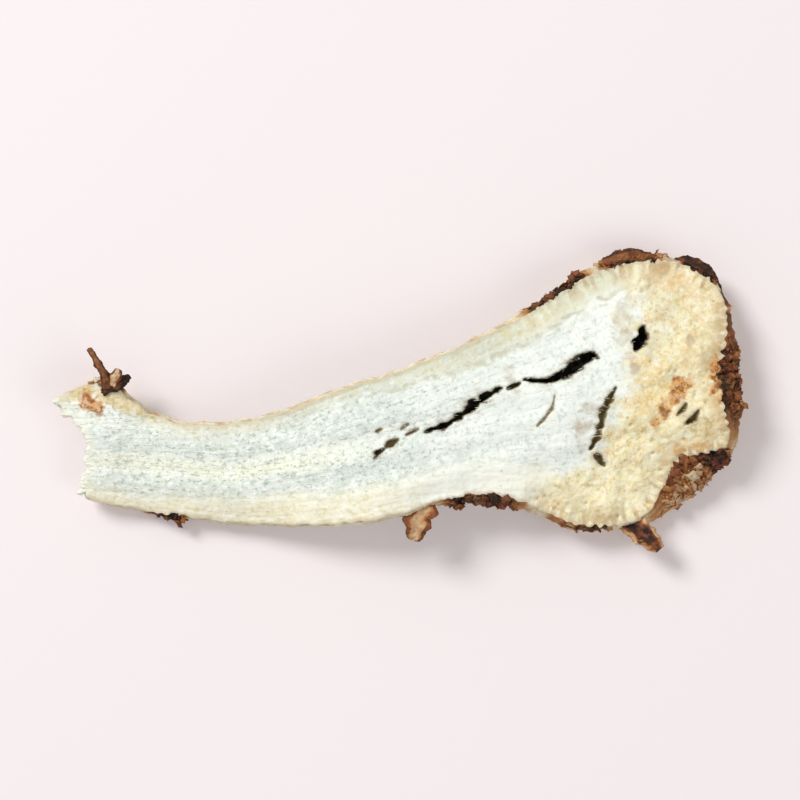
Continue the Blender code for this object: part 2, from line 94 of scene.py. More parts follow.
def makeStage(look):
    scene = bpy.context.scene
    scene.view_settings.view_transform = "Standard"
    scene.view_settings.look = "None"
    world = bpy.data.worlds.new("studio")
    world.use_nodes = True
    world.node_tree.nodes["Background"].inputs["Color"].default_value = (1.0, 1.0, 1.0, 1.0)
    world.node_tree.nodes["Background"].inputs["Strength"].default_value = look["worldStrength"]
    scene.world = world
    addLight("key", look["keyPlace"], look["keySize"], look["keyPower"])
    addLight("fill", look["fillPlace"], look["fillSize"], look["fillPower"])
    camera = bpy.data.objects.new("camera", bpy.data.cameras.new("camera"))
    camera.data.lens = look["lens"]
    camera.data.clip_start = 0.005
    camera.location = (0.0, 0.0, look["cameraHeight"])
    scene.collection.objects.link(camera)
    scene.camera = camera
    reach = look["floorSize"] / 2
    corners = [(-reach, -reach, 0.0), (reach, -reach, 0.0), (reach, reach, 0.0), (-reach, reach, 0.0)]
    data = bpy.data.meshes.new("floor")
    data.from_pydata(corners, [], [(0, 1, 2, 3)])
    paper = bpy.data.materials.new("pale floor")
    paper.use_nodes = True
    shader = paper.node_tree.nodes["Principled BSDF"]
    shader.inputs["Base Color"].default_value = linearColour(*look["floorColour"])
    shader.inputs["Roughness"].default_value = 0.9
    shader.inputs["Specular IOR Level"].default_value = 0.1
    data.materials.append(paper)
    floor = bpy.data.objects.new("floor", data)
    scene.collection.objects.link(floor)


makeStage(stageLook)
print("camera, light and floor are in place")


# Form of the slice

sheet = {
    "tailX": -36.0,
    "crownX": 36.0,
    "tailThickness": 2.3,
    "headThickness": 3.3,
    "growthAlong": (0.25, 0.85),  # shares of the way from tail to crown
    "rimShare": 0.74,
    "rimWidth": 3.2,
    "archRise": 3.4,
    "archWave": 51.0,
    "cupRise": 1.7,
    "cupHalfWidth": 11.0,
    "cupAlong": (6.0, 20.0),  # x where it begins and where it is full
    "tailTwist": 0.16,
    "twistAlong": (4.0, -26.0),
    "frill": 0.75,
    "frillWidth": 5.5,
    "frillScale": 6.5,
    "dent": 0.35,
    "dentScale": 9.0,
    "fibreRelief": 0.22,
    "fibrePitch": 1.9,
    "fibreLength": 16.0,
    "crownRelief": 0.5,
    "crownScale": 2.3,
    "woodMottle": 0.25,  # share of the crown's relief that the wood has too
    "cortexSink": 0.02,
    "cortexBlend": 0.8,
    "cambiumGroove": 0.06,
    "cambiumHalfWidth": 0.35,
    "cambiumLoss": 0.7,  # share of its groove that is missing at the crown
    "stainHollow": (29.2, 2.2),
    "stainRadius": 2.6,
    "stainDepth": 0.55,
    "feet": ((-25.5, -9.2), (24.0, 11.2), (21.0, -10.6)),
    "footRadius": 1.35,
    "footBlend": 3.4,
    "clearOfFloor": 0.25,
}

meshing = {
    "rimStep": 0.17,
    "upperGrid": 0.157,
    "lowerGrid": 0.26,
    "jitter": 0.12,  # share of the grid
    "clearance": 0.62,  # share of the grid that its points keep from the rim
    "barkRings": 15,
}

# The outermost line of the bark from above, anticlockwise from the torn tip of the tail. The third value
# is how far the upper cut face stands in from it.
outline = (
    (-36.1, 0.2, 0.15), (-35.0, -0.9, 0.15), (-33.3, -2.9, 0.2), (-32.7, -5.2, 0.2), (-33.0, -7.6, 0.2),
    (-33.3, -9.9, 0.2), (-28.6, -11.3, 0.3), (-22.8, -12.3, 0.4), (-16.4, -13.0, 0.4), (-9.5, -13.1, 0.4),
    (-3.2, -12.6, 0.5), (1.1, -11.8, 0.6), (5.0, -10.8, 0.9), (9.5, -10.7, 1.2), (14.0, -11.9, 1.0),
    (18.0, -13.4, 0.8), (22.3, -13.6, 0.8), (26.3, -12.9, 1.4), (29.2, -11.3, 3.0), (31.6, -9.5, 4.4),
    (33.6, -7.5, 3.3), (35.3, -4.8, 1.4), (35.9, -0.8, 2.4), (35.7, 3.4, 2.7), (35.2, 7.4, 1.4),
    (34.2, 11.1, 0.7), (32.1, 13.9, 0.8), (28.6, 15.4, 0.7), (24.4, 15.6, 1.0), (20.1, 14.5, 1.0),
    (16.4, 12.3, 0.9), (12.2, 9.5, 0.8), (8.0, 7.1, 0.5), (3.7, 5.1, 0.4), (-0.5, 3.4, 0.4), (-5.8, 1.8, 0.4),
    (-11.1, -0.2, 0.4), (-16.2, -1.6, 0.4), (-20.7, -1.9, 0.4), (-24.6, -1.3, 0.4), (-27.4, 0.3, 0.4),
    (-28.9, 1.9, 0.5), (-31.5, 2.4, 0.4), (-34.1, 1.4, 0.3),
)

# The root's axis, and the two lines that its outermost fibres follow, as x, y of the axis, y above and
# y below
axisLine = (
    (-36.0, -5.2, -1.5, -10.5), (-26.0, -6.9, -1.6, -11.8), (-16.0, -7.3, -1.6, -13.0),
    (-6.0, -5.5, 1.8, -13.0), (4.0, -3.0, 5.2, -11.4), (14.0, -0.5, 10.9, -12.5),
    (24.0, 1.2, 15.6, -14.0), (36.0, 1.8, 18.0, -15.0),
)
grainWidth = 18.0  # the fibres' own scale across the root, which they fill at every place along it

# The border between the wood and the crown, as y and x
crownBorder = (
    (-16.0, 9.0), (-10.5, 13.0), (-7.4, 17.6), (-5.0, 20.6), (-1.5, 22.0), (1.5, 23.4), (4.6, 24.3),
    (7.5, 24.2), (10.5, 23.6), (16.0, 22.8),
)
crownEdge = {
    "width": 2.9,
    "turn": 0.6,  # keeps the noise's lattice off the border's own line
    "wideStray": 1.6,
    "wideScale": 2.6,
    "fineStray": 1.2,
    "fineScale": 0.9,
}

# The width of the inner bark at the tail, and what it gains from one x to another on its way to the crown
cortexForm = {
    "aboveTail": 0.9,
    "aboveGain": 1.7,
    "aboveAlong": (-10.0, 14.0),
    "belowTail": 1.4,
    "bodyGain": 1.9,
    "bodyAlong": (-30.0, -8.0),
    "neckGain": 0.6,
    "neckAlong": (8.0, 16.0),
    "blend": 3.0,  # half the way from one side's width to the other's
}

barkForm = {
    "scallopPitch": 1.2,
    "scallopDrift": 4.0,
    "scallopDriftScale": 3.1,
    "scallop": 0.42,
    "scallopLevel": 0.6,
    "scallopPatches": 2.3,
    "scallopOnset": (-0.45, 0.5),
    "scallopUnevenness": 0.8,
    "crownAlong": (4.0, 22.0),  # x from where the rim is scalloped to where it is fully so
    "bodyWrinkle": 0.2,
    "bodyWrinkleScale": 1.6,
    "nick": 0.13,
    "nickScale": 0.45,
    "leastNick": 0.5,
    "tornFibre": 0.9,
    "tornFibreScale": 0.8,
    "tornAlong": (-30.5, -32.5),
    "tornFacing": (0.3, 0.8),
    "lump": 0.3,
    "lumpScale": 1.7,
    "lumpDepth": 4.0,
    "roughLump": 1.0,
    "roughLift": 1.1,
    "lowerInset": 0.35,
    "bevelPower": 1.4,
    "lowerPower": 3,
    "toothLoss": 0.6,  # share of the teeth that is missing at the lower face
}

# Where the bark is rough: a place on the rim and how far the roughness reaches
roughSpots = (
    (24.0, 15.4, 4.6), (31.8, 14.0, 2.6), (36.0, 2.6, 5.0), (32.3, -9.0, 6.5), (15.9, 11.8, 4.6),
    (8.4, -10.6, 5.0), (19.5, -13.4, 3.4), (-24.0, -12.2, 2.4), (-30.2, 2.2, 2.6),
)

# The bark's tone, from 0, nearly black, to 1, pale straw: a place on the rim, its reach and its tone
bareTone = 0.88
toneSpots = (
    (15.9, 12.0, 5.0, 0.3), (24.0, 15.5, 4.2, 0.36), (31.4, 14.0, 2.8, 0.08), (34.3, 11.0, 1.2, 0.12),
    (35.0, 8.4, 1.6, 0.18), (36.4, 2.5, 8.6, 0.4), (31.5, -8.5, 5.8, 0.63), (34.0, -6.6, 1.7, 0.12),
    (27.8, -12.2, 2.2, 0.6), (20.0, -13.5, 2.6, 0.34), (16.3, -12.6, 1.7, 0.55), (8.6, -10.9, 5.2, 0.26),
    (-24.6, -12.5, 2.8, 0.24), (-29.6, 2.2, 1.9, 0.2),
)

# Cracks and pits: x, y and half the width along each, then its depth and its tone, from 0, black painted
# shade, to 1, olive grey
upperCracks = (
    (((20.6, 4.6, 0.1), (20.0, 4.85, 0.3), (19.1, 4.35, 0.5), (18.1, 3.75, 0.58), (17.2, 3.1, 0.46),
      (16.3, 2.6, 0.32), (15.2, 2.3, 0.3), (14.0, 2.25, 0.2), (12.9, 2.4, 0.08)), 1.9, 0.0),
    (((12.4, 1.95, 0.1), (11.8, 1.65, 0.36), (11.2, 1.5, 0.12)), 1.0, 0.25),
    (((10.5, 1.5, 0.1), (10.1, 1.35, 0.26), (9.6, 1.0, 0.18), (9.1, 0.7, 0.46), (8.6, 0.4, 0.4),
      (8.2, 0.1, 0.16), (7.7, -0.2, 0.52), (7.2, -0.6, 0.5), (6.6, -1.15, 0.2), (6.1, -1.45, 0.36),
      (5.5, -1.8, 0.18), (5.0, -2.2, 0.2), (4.4, -2.5, 0.34), (3.7, -2.65, 0.14), (3.1, -2.85, 0.26),
      (2.6, -3.0, 0.08)), 1.6, 0.05),
    (((2.0, -2.7, 0.1), (1.3, -3.0, 0.22), (0.7, -3.3, 0.1)), 0.5, 0.7),
    (((0.9, -2.2, 0.08), (0.5, -2.5, 0.16), (0.2, -2.7, 0.08)), 0.4, 0.8),
    (((-0.2, -3.8, 0.14), (-0.9, -4.15, 0.3), (-1.4, -4.5, 0.12)), 0.6, 0.4),
    (((-1.7, -4.9, 0.16), (-2.2, -5.3, 0.34), (-2.6, -5.7, 0.14)), 0.8, 0.15),
    (((-1.9, -2.7, 0.1), (-2.3, -2.9, 0.16)), 0.3, 0.9),
    (((25.3, 7.8, 0.2), (25.2, 7.1, 0.56), (24.9, 6.3, 0.56), (24.5, 5.4, 0.2)), 2.2, 0.0),
    (((22.3, 1.5, 0.12), (21.7, 0.4, 0.26), (21.1, -0.9, 0.36), (20.8, -2.2, 0.3), (20.4, -3.6, 0.36),
      (19.8, -4.7, 0.16)), 1.0, 1.0),
    (((20.4, -5.5, 0.2), (20.9, -6.1, 0.4), (21.3, -6.6, 0.12)), 0.9, 0.8),
    (((30.9, -0.9, 0.16), (30.3, -1.6, 0.36), (29.8, -2.1, 0.14)), 1.0, 0.6),
    (((29.6, -0.2, 0.12), (29.2, -0.8, 0.22), (28.7, -1.3, 0.1)), 0.6, 0.9),
    (((16.0, 0.9, 0.06), (15.6, -0.7, 0.14), (14.2, -2.4, 0.06)), 0.3, 1.0),
)
lowerCracks = (
    (((-8.0, -6.6, 0.05), (-1.0, -4.6, 0.4), (5.5, -2.6, 0.45), (9.5, -1.6, 0.1)), 1.1, 0.3),
    (((17.5, 4.4, 0.1), (20.5, 2.6, 0.55), (22.0, -0.6, 0.1)), 1.2, 0.3),
)

crackForm = {
    "sampleStep": 0.05,
    "ragged": 0.95,
    "raggedLength": 1.7,
    "raggedPitch": 0.4,
    "splinter": 0.35,
    "splinterScale": 0.2,
    "lip": 0.2,
    "haloWidth": 1.1,
}

# Brown stains, the skin left on the tail's corner and in an ochre patch on the crown, and pinkish grey
# smudges, some of them painted shadow beside the slot, as x, y, reach and strength
stainSpots = (
    (29.9, 1.9, 1.1, 0.9), (29.0, 1.6, 1.5, 1.0), (28.2, 0.5, 1.3, 0.8), (27.4, -0.9, 1.3, 0.9),
    (26.6, -2.1, 1.0, 0.8), (25.6, -0.6, 1.2, 0.3), (31.8, -3.0, 2.0, 0.25), (33.0, 3.7, 1.5, 1.0),
    (33.3, 2.2, 1.8, 1.2), (33.8, 0.6, 1.4, 0.85), (34.0, -2.0, 1.3, 0.5), (29.0, 12.6, 1.5, 0.4),
    (23.6, 13.3, 1.3, 0.3), (29.0, -4.7, 1.1, 0.6), (31.0, -4.6, 1.0, 0.6),
    (-32.5, 0.3, 1.3, 0.9), (-31.6, -0.3, 1.4, 1.1), (-31.2, -1.2, 0.8, 0.8),
)
skinSpots = (
    (-34.6, 0.4, 1.0, 0.5), (-33.6, 0.8, 1.3, 0.7), (-32.4, 1.2, 1.2, 0.7), (-30.6, 0.7, 1.3, 1.0),
    (-29.4, 0.2, 1.3, 1.0), (-28.2, -0.3, 1.2, 1.0), (-27.0, -0.8, 1.0, 0.9), (-25.8, -1.3, 0.8, 0.7),
    (31.4, -2.6, 2.2, 0.8),
)
# the three spots left of the slot, near x 19, are painted shadow; the rest are smudges
smudgeAndShadowSpots = (
    (23.0, 9.0, 1.6, 0.7), (23.3, 6.8, 1.4, 0.9), (23.6, 4.8, 1.0, 0.6), (19.5, -0.4, 1.3, 0.8),
    (18.8, -2.6, 1.3, 1.0), (18.9, -4.4, 0.9, 0.7), (11.2, 3.1, 1.4, 0.6), (8.0, 1.4, 1.1, 0.5),
    (14.6, 5.2, 1.5, 0.2), (29.2, -0.9, 0.9, 0.8), (4.0, -1.6, 1.0, 0.5), (12.6, -8.8, 1.6, 0.25),
    (30.0, 6.4, 1.0, 1.1), (24.2, 3.7, 0.8, 1.1),
)


def smooth(low, high, value):
    share = min(max((value - low) / (high - low), 0.0), 1.0)
    return share * share * (3.0 - 2.0 * share)


layerStep = 9.7  # between two unlike layers of noise


def noiseAt(x, y, scale, layer, z=0.0):
    return noise.noise(Vector((x / scale, y / scale, z / scale + layerStep * layer)))


def curvePoint(points, place, closed):
    count = len(points)
    index = math.floor(place)
    share = place - index
    picks = []
    for step in (-1, 0, 1, 2):
        picks.append(points[(index + step) % count if closed else min(max(index + step, 0), count - 1)])
    a, b, c, d = picks
    return tuple(
        0.5 * (2 * b[k] + (c[k] - a[k]) * share + (2 * a[k] - 5 * b[k] + 4 * c[k] - d[k]) * share ** 2
               + (3 * b[k] - a[k] - 3 * c[k] + d[k]) * share ** 3)
        for k in range(len(b)))


# Points set evenly along the smooth curve through the given ones
def walk(points, step, closed):
    fine = 32
    spans = len(points) if closed else len(points) - 1
    dense = [curvePoint(points, k / fine, closed) for k in range(spans * fine + 1)]
    reach = [0.0]
    for start, end in zip(dense, dense[1:]):
        reach.append(reach[-1] + math.dist(start[:2], end[:2]))
    count = max(2, round(reach[-1] / step))
    found = []
    here = 0
    for k in range(count if closed else count + 1):
        wanted = reach[-1] * k / count
        while here < len(reach) - 2 and reach[here + 1] < wanted:
            here += 1
        share = (wanted - reach[here]) / (reach[here + 1] - reach[here])
        found.append(tuple(a + (b - a) * share for a, b in zip(dense[here], dense[here + 1])))
    return found


def axisAt(x):
    last = len(axisLine) - 2
    index = 0
    while index < last and x > axisLine[index + 1][0]:
        index += 1
    share = (x - axisLine[index][0]) / (axisLine[index + 1][0] - axisLine[index][0])
    return curvePoint(axisLine, index + min(max(share, 0.0), 0.999), False)


# The place along and across the grain, and the fibres' direction
def grainAt(x, y):
    here, ahead = axisAt(x), axisAt(x + 0.5)
    share = (y - here[3]) / (here[2] - here[3])
    rise = (ahead[3] + share * (ahead[2] - ahead[3]) - y) / 0.5
    return (x, (share - 0.5) * grainWidth), Vector((1.0, rise, 0.0)).normalized()


def crownShare(x, y):
    for start, end in zip(crownBorder, crownBorder[1:]):
        if y <= end[0]:
            break
    border = start[1] + (end[1] - start[1]) * min(max((y - start[0]) / (end[0] - start[0]), 0.0), 1.0)
    e = crownEdge
    turnedX, turnedY = x + e["turn"] * y, y - e["turn"] * x
    stray = e["wideStray"] * noiseAt(turnedX, turnedY, e["wideScale"], 21)
    stray += e["fineStray"] * noiseAt(turnedX, turnedY, e["fineScale"], 22)
    return smooth(-e["width"], e["width"], x - border + stray)


def sheetHeight(x, y, edge):
    s = sheet
    across = y - axisAt(x)[1]
    arch = s["archRise"] * 0.5 * (1 + math.cos(2 * math.pi * x / s["archWave"]))
    cup = s["cupRise"] * 0.5 * (1 + math.cos(math.pi * across / s["cupHalfWidth"]))
    cup *= smooth(*s["cupAlong"], x)
    twist = s["tailTwist"] * across * smooth(*s["twistAlong"], x)
    frill = s["frill"] * smooth(s["frillWidth"], 0.0, edge) * noiseAt(x, y, s["frillScale"], 1)
    return arch + cup + twist + frill + s["dent"] * noiseAt(x, y, s["dentScale"], 2)


def thickness(x, edge):
    along = (x - sheet["tailX"]) / (sheet["crownX"] - sheet["tailX"])
    growth = sheet["headThickness"] - sheet["tailThickness"]
    body = sheet["tailThickness"] + growth * smooth(*sheet["growthAlong"], along)
    return body * (sheet["rimShare"] + (1.0 - sheet["rimShare"]) * smooth(0.0, sheet["rimWidth"], edge))


# How far in from the rim the wood begins: the inner bark is wider below the neck than above it
def cortexWidth(x, y):
    c = cortexForm
    above = c["aboveTail"] + c["aboveGain"] * smooth(*c["aboveAlong"], x)
    below = c["belowTail"] + c["bodyGain"] * smooth(*c["bodyAlong"], x)
    below += c["neckGain"] * smooth(*c["neckAlong"], x)
    return below + (above - below) * smooth(-c["blend"], c["blend"], y - axisAt(x)[1])


def faceRelief(x, y, edge, side):
    s = sheet
    across = y - axisAt(x)[1]
    crown = crownShare(x, y)
    miss = edge - cortexWidth(x, y)
    stretch = s["fibrePitch"] / s["fibreLength"]
    fibres = s["fibreRelief"] * noiseAt(x * stretch, across, s["fibrePitch"], 4 * side)
    mottle = s["crownRelief"] * noiseAt(x, y, s["crownScale"], 3 * side)
    cortex = -s["cortexSink"] * smooth(s["cortexBlend"], -s["cortexBlend"], miss)
    groove = -s["cambiumGroove"] * math.exp(-((miss / s["cambiumHalfWidth"]) ** 2))
    groove *= 1 - s["cambiumLoss"] * crown
    hollow = 0.0
    if side > 0:
        reach = math.dist((x, y), s["stainHollow"]) / s["stainRadius"]
        hollow = -s["stainDepth"] * math.exp(-reach * reach)
    mottle *= s["woodMottle"] + (1 - s["woodMottle"]) * crown
    return fibres * (1 - crown) + mottle + cortex + groove + hollow


def roughnessAt(x, y):
    return max(
        smooth(reach, 0.45 * reach, math.dist((x, y), (midX, midY))) for midX, midY, reach in roughSpots)


def toneAt(x, y):
    tone = bareTone
    for midX, midY, reach, spotTone in toneSpots:
        tone += (spotTone - tone) * smooth(reach, 0.5 * reach, math.dist((x, y), (midX, midY)))
    return tone


RimPlace = namedtuple("RimPlace", "reach rough torn tone arc")


# The bark's lines round the slice, from the upper face's edge to the lower one's: x, y and lift of each
# point, with what is the same from top to bottom kept once for each place on the rim
def barkLines():
    b = barkForm
    samples = walk(outline, meshing["rimStep"], True)
    count = len(samples)
    rings = [[] for _ in range(meshing["barkRings"] + 1)]
    places = []
    for k, (x, y, slope) in enumerate(samples):
        ahead, behind = samples[(k + 3) % count], samples[k - 3]
        normal = Vector((ahead[1] - behind[1], behind[0] - ahead[0])).normalized()
        reach = k * meshing["rimStep"]
        crown = smooth(*b["crownAlong"], x)
        rough = roughnessAt(x, y)
        torn = smooth(*b["tornAlong"], x) * smooth(*b["tornFacing"], -normal.x)
        drift = b["scallopDrift"] * noiseAt(x, y, b["scallopDriftScale"], 5)
        arc = abs(math.sin(math.pi * reach / b["scallopPitch"] + drift))
        onset = smooth(*b["scallopOnset"], noiseAt(x, y, b["scallopPatches"], 18))
        scallop = b["scallop"] * (arc - b["scallopLevel"]) * onset
        scallop *= 1 + noiseAt(x, y, b["scallopUnevenness"], 21)
        wrinkle = b["bodyWrinkle"] * noiseAt(x, y, b["bodyWrinkleScale"], 6)
        fibre = b["tornFibre"] * noiseAt(0.0, y, b["tornFibreScale"], 7)
        nick = b["nick"] * noiseAt(x, y, b["nickScale"], 12) * (b["leastNick"] + rough + torn)
        tooth = scallop * crown + wrinkle * (1 - crown) + fibre * torn + nick
        places.append(RimPlace(reach, rough, torn, toneAt(x, y), arc))
        for number, ring in enumerate(rings):
            down = number / meshing["barkRings"]
            inset = slope * (1 - down) ** b["bevelPower"] + b["lowerInset"] * down ** b["lowerPower"]
            swell = math.sin(math.pi * down)
            size = b["lump"] + (b["roughLump"] - b["lump"]) * rough
            lump = size * swell * noiseAt(x, y, b["lumpScale"], 8, b["lumpDepth"] * down)
            lift = b["roughLift"] * rough * swell * abs(noiseAt(x, y, b["lumpScale"], 9))
            teeth = tooth * (1 - b["toothLoss"] * down)
            place = Vector((x, y)) + normal * (teeth + lump - inset)
            ring.append((place.x, place.y, lift))
    return rings, places


spotForm = {
    "wideStray": 0.6,
    "wideScale": 0.9,
    "fineStray": 0.35,
    "fineScale": 0.35,
    "core": 0.3,  # share of a spot's reach that has its full strength
}


def spotShare(spots, x, y):
    f = spotForm
    here = 1 + f["wideStray"] * noiseAt(x, y, f["wideScale"], 19)
    here += f["fineStray"] * noiseAt(x, y, f["fineScale"], 20)
    return max(
        strength * smooth(reach, f["core"] * reach, math.dist((x, y), (midX, midY)) * here)
        for midX, midY, reach, strength in spots)


class Cracks:

    def __init__(self, cracks):
        self.samples = []
        for line, depth, tone in cracks:
            for x, y, half in walk(line, crackForm["sampleStep"], False):
                self.samples.append((x, y, half, depth, tone))
        self.tree = KDTree(len(self.samples))
        for index, sample in enumerate(self.samples):
            self.tree.insert((sample[0], sample[1], 0.0), index)
        self.tree.balance()

    # How far a place is inside a crack, from 0 to 1, the crack's depth there, its tone and its halo
    def at(self, x, y):
        c = crackForm
        _, index, miss = self.tree.find((x, y, 0.0))
        half, depth, tone = self.samples[index][2:]
        if miss > 2.4 * half + c["haloWidth"]:
            return 0.0, 0.0, tone, 0.0
        (along, across), _ = grainAt(x, y)
        stretch = c["raggedPitch"] / c["raggedLength"]
        half *= 1 + c["ragged"] * noiseAt(along * stretch, across, c["raggedPitch"], 14)
        half += c["splinter"] * noiseAt(x, y, c["splinterScale"], 15) * min(half, 0.3)
        inside = smooth(half + c["lip"], half - c["lip"], miss)
        halo = smooth(half + c["haloWidth"] * min(1.0, 2.5 * half), half, miss)
        return inside, depth * inside * (0.75 + 0.5 * noiseAt(x, y, 0.6, 16)), tone, halo


class RimLine:

    def __init__(self, ring):
        self.points = [(x, y) for x, y, _ in ring]
        self.tree = KDTree(len(self.points))
        for index, (x, y) in enumerate(self.points):
            self.tree.insert((x, y, 0.0), index)
        self.tree.balance()

    def nearest(self, x, y):
        _, index, edge = self.tree.find((x, y, 0.0))
        return index, edge

    # The places where a level line crosses the rim, from left to right
    def crossings(self, y):
        found = []
        for (x1, y1), (x2, y2) in zip(self.points, self.points[1:] + self.points[:1]):
            if (y1 > y) != (y2 > y):
                found.append(x1 + (x2 - x1) * (y - y1) / (y2 - y1))
        return sorted(found)

    def holds(self, x, y):
        return sum(cross < x for cross in self.crossings(y)) % 2 == 1


# A cut face in the plane: the rim's points first, then a jittered triangular grid, and the triangles
# between them
def planeMesh(rim, grid):
    places = list(rim.points)
    count = len(places)
    rowStep = grid * math.sqrt(3) / 2
    low = min(y for _, y in places)
    rows = math.ceil((max(y for _, y in places) - low) / rowStep)
    for row in range(rows):
        y = low + row * rowStep
        crossings = rim.crossings(y)
        for start, end in zip(crossings[::2], crossings[1::2]):
            shift = (row % 2) * grid / 2
            for step in range(math.ceil((start - shift) / grid), math.floor((end - shift) / grid) + 1):
                x = shift + step * grid
                if rim.nearest(x, y)[1] < meshing["clearance"] * grid + 0.5 * meshing["rimStep"]:
                    continue
                wide = meshing["jitter"] * grid
                places.append((x + wide * noiseAt(x, y, 0.11, 30), y + wide * noiseAt(x, y, 0.11, 31)))
    edges = [(k, (k + 1) % count) for k in range(count)]
    flat = [Vector(place) for place in places]
    points, _, triangles, sources, _, _ = delaunay_2d_cdt(flat, edges, [], 0, 1e-6, True)
    if len(points) != len(flat):
        raise ValueError("the rim crosses itself")
    kept = []
    for triangle in triangles:
        corners = [sources[corner][0] for corner in triangle]
        if max(corners) < count:
            middle = [sum(places[c][k] for c in corners) / 3 for k in (0, 1)]
            if not rim.holds(*middle):
                continue
        kept.append(corners)
    return places, kept


# Levels the slice on its three feet, and lifts the rest of it clear of the floor
def standingTilt(rim, places):
    def rawBottom(x, y):
        edge = rim.nearest(x, y)[1]
        return sheetHeight(x, y, edge) - thickness(x, edge) / 2 - faceRelief(x, y, edge, -1)

    a, b, c = (Vector((*foot, rawBottom(*foot))) for foot in sheet["feet"])
    normal = (b - a).cross(c - a)
    slopeX, slopeY = -normal.x / normal.z, -normal.y / normal.z
    level = a.z - slopeX * a.x - slopeY * a.y
    lowest = min(rawBottom(x, y) - slopeX * x - slopeY * y - level for x, y in places[::5])
    return slopeX, slopeY, level + lowest - sheet["clearOfFloor"]


class SliceBody:

    def __init__(self):
        self.rings, self.rimPlaces = barkLines()
        self.upperRim, self.lowerRim = RimLine(self.rings[0]), RimLine(self.rings[-1])
        self.upperPlaces, self.upperFaces = planeMesh(self.upperRim, meshing["upperGrid"])
        self.lowerPlaces, self.lowerFaces = planeMesh(self.lowerRim, meshing["lowerGrid"])
        self.tilt = standingTilt(self.lowerRim, self.lowerPlaces)
        whole = [k for k, place in enumerate(self.rimPlaces) if place.torn < 0.5]
        self.barkTree = KDTree(len(whole))
        for k in whole:
            self.barkTree.insert((*self.upperRim.points[k], 0.0), k)
        self.barkTree.balance()

    # The distance to the rim where it isn't torn
    def barkEdge(self, x, y):
        return self.barkTree.find((x, y, 0.0))[2]

    def middle(self, x, y, edge):
        return sheetHeight(x, y, edge) - (self.tilt[0] * x + self.tilt[1] * y + self.tilt[2])

    def footShare(self, x, y):
        nearest = min(math.dist((x, y), foot) for foot in sheet["feet"])
        return smooth(sheet["footRadius"], sheet["footBlend"], nearest)


def newObject(name, points, faces):
    data = bpy.data.meshes.new(name)
    middleX, middleY = outlineCentre
    data.from_pydata([((x - middleX) * mm, (y - middleY) * mm, z * mm) for x, y, z in points], [], faces)
    made = bpy.data.objects.new(name, data)
    bpy.context.scene.collection.objects.link(made)
    return made


def storeValues(data, name, kind, values, domain="POINT"):
    attribute = data.attributes.new(name, kind, domain)
    if kind == "FLOAT_VECTOR":
        attribute.data.foreach_set("vector", [number for value in values for number in value])
    else:
        attribute.data.foreach_set("value", values)


faceGap = 3.0  # from the slice's middle to each face, in the noises that follow the grain or the rim
barkDrop = -3.0  # what stands for the distance from the rim at the bark's lowest line


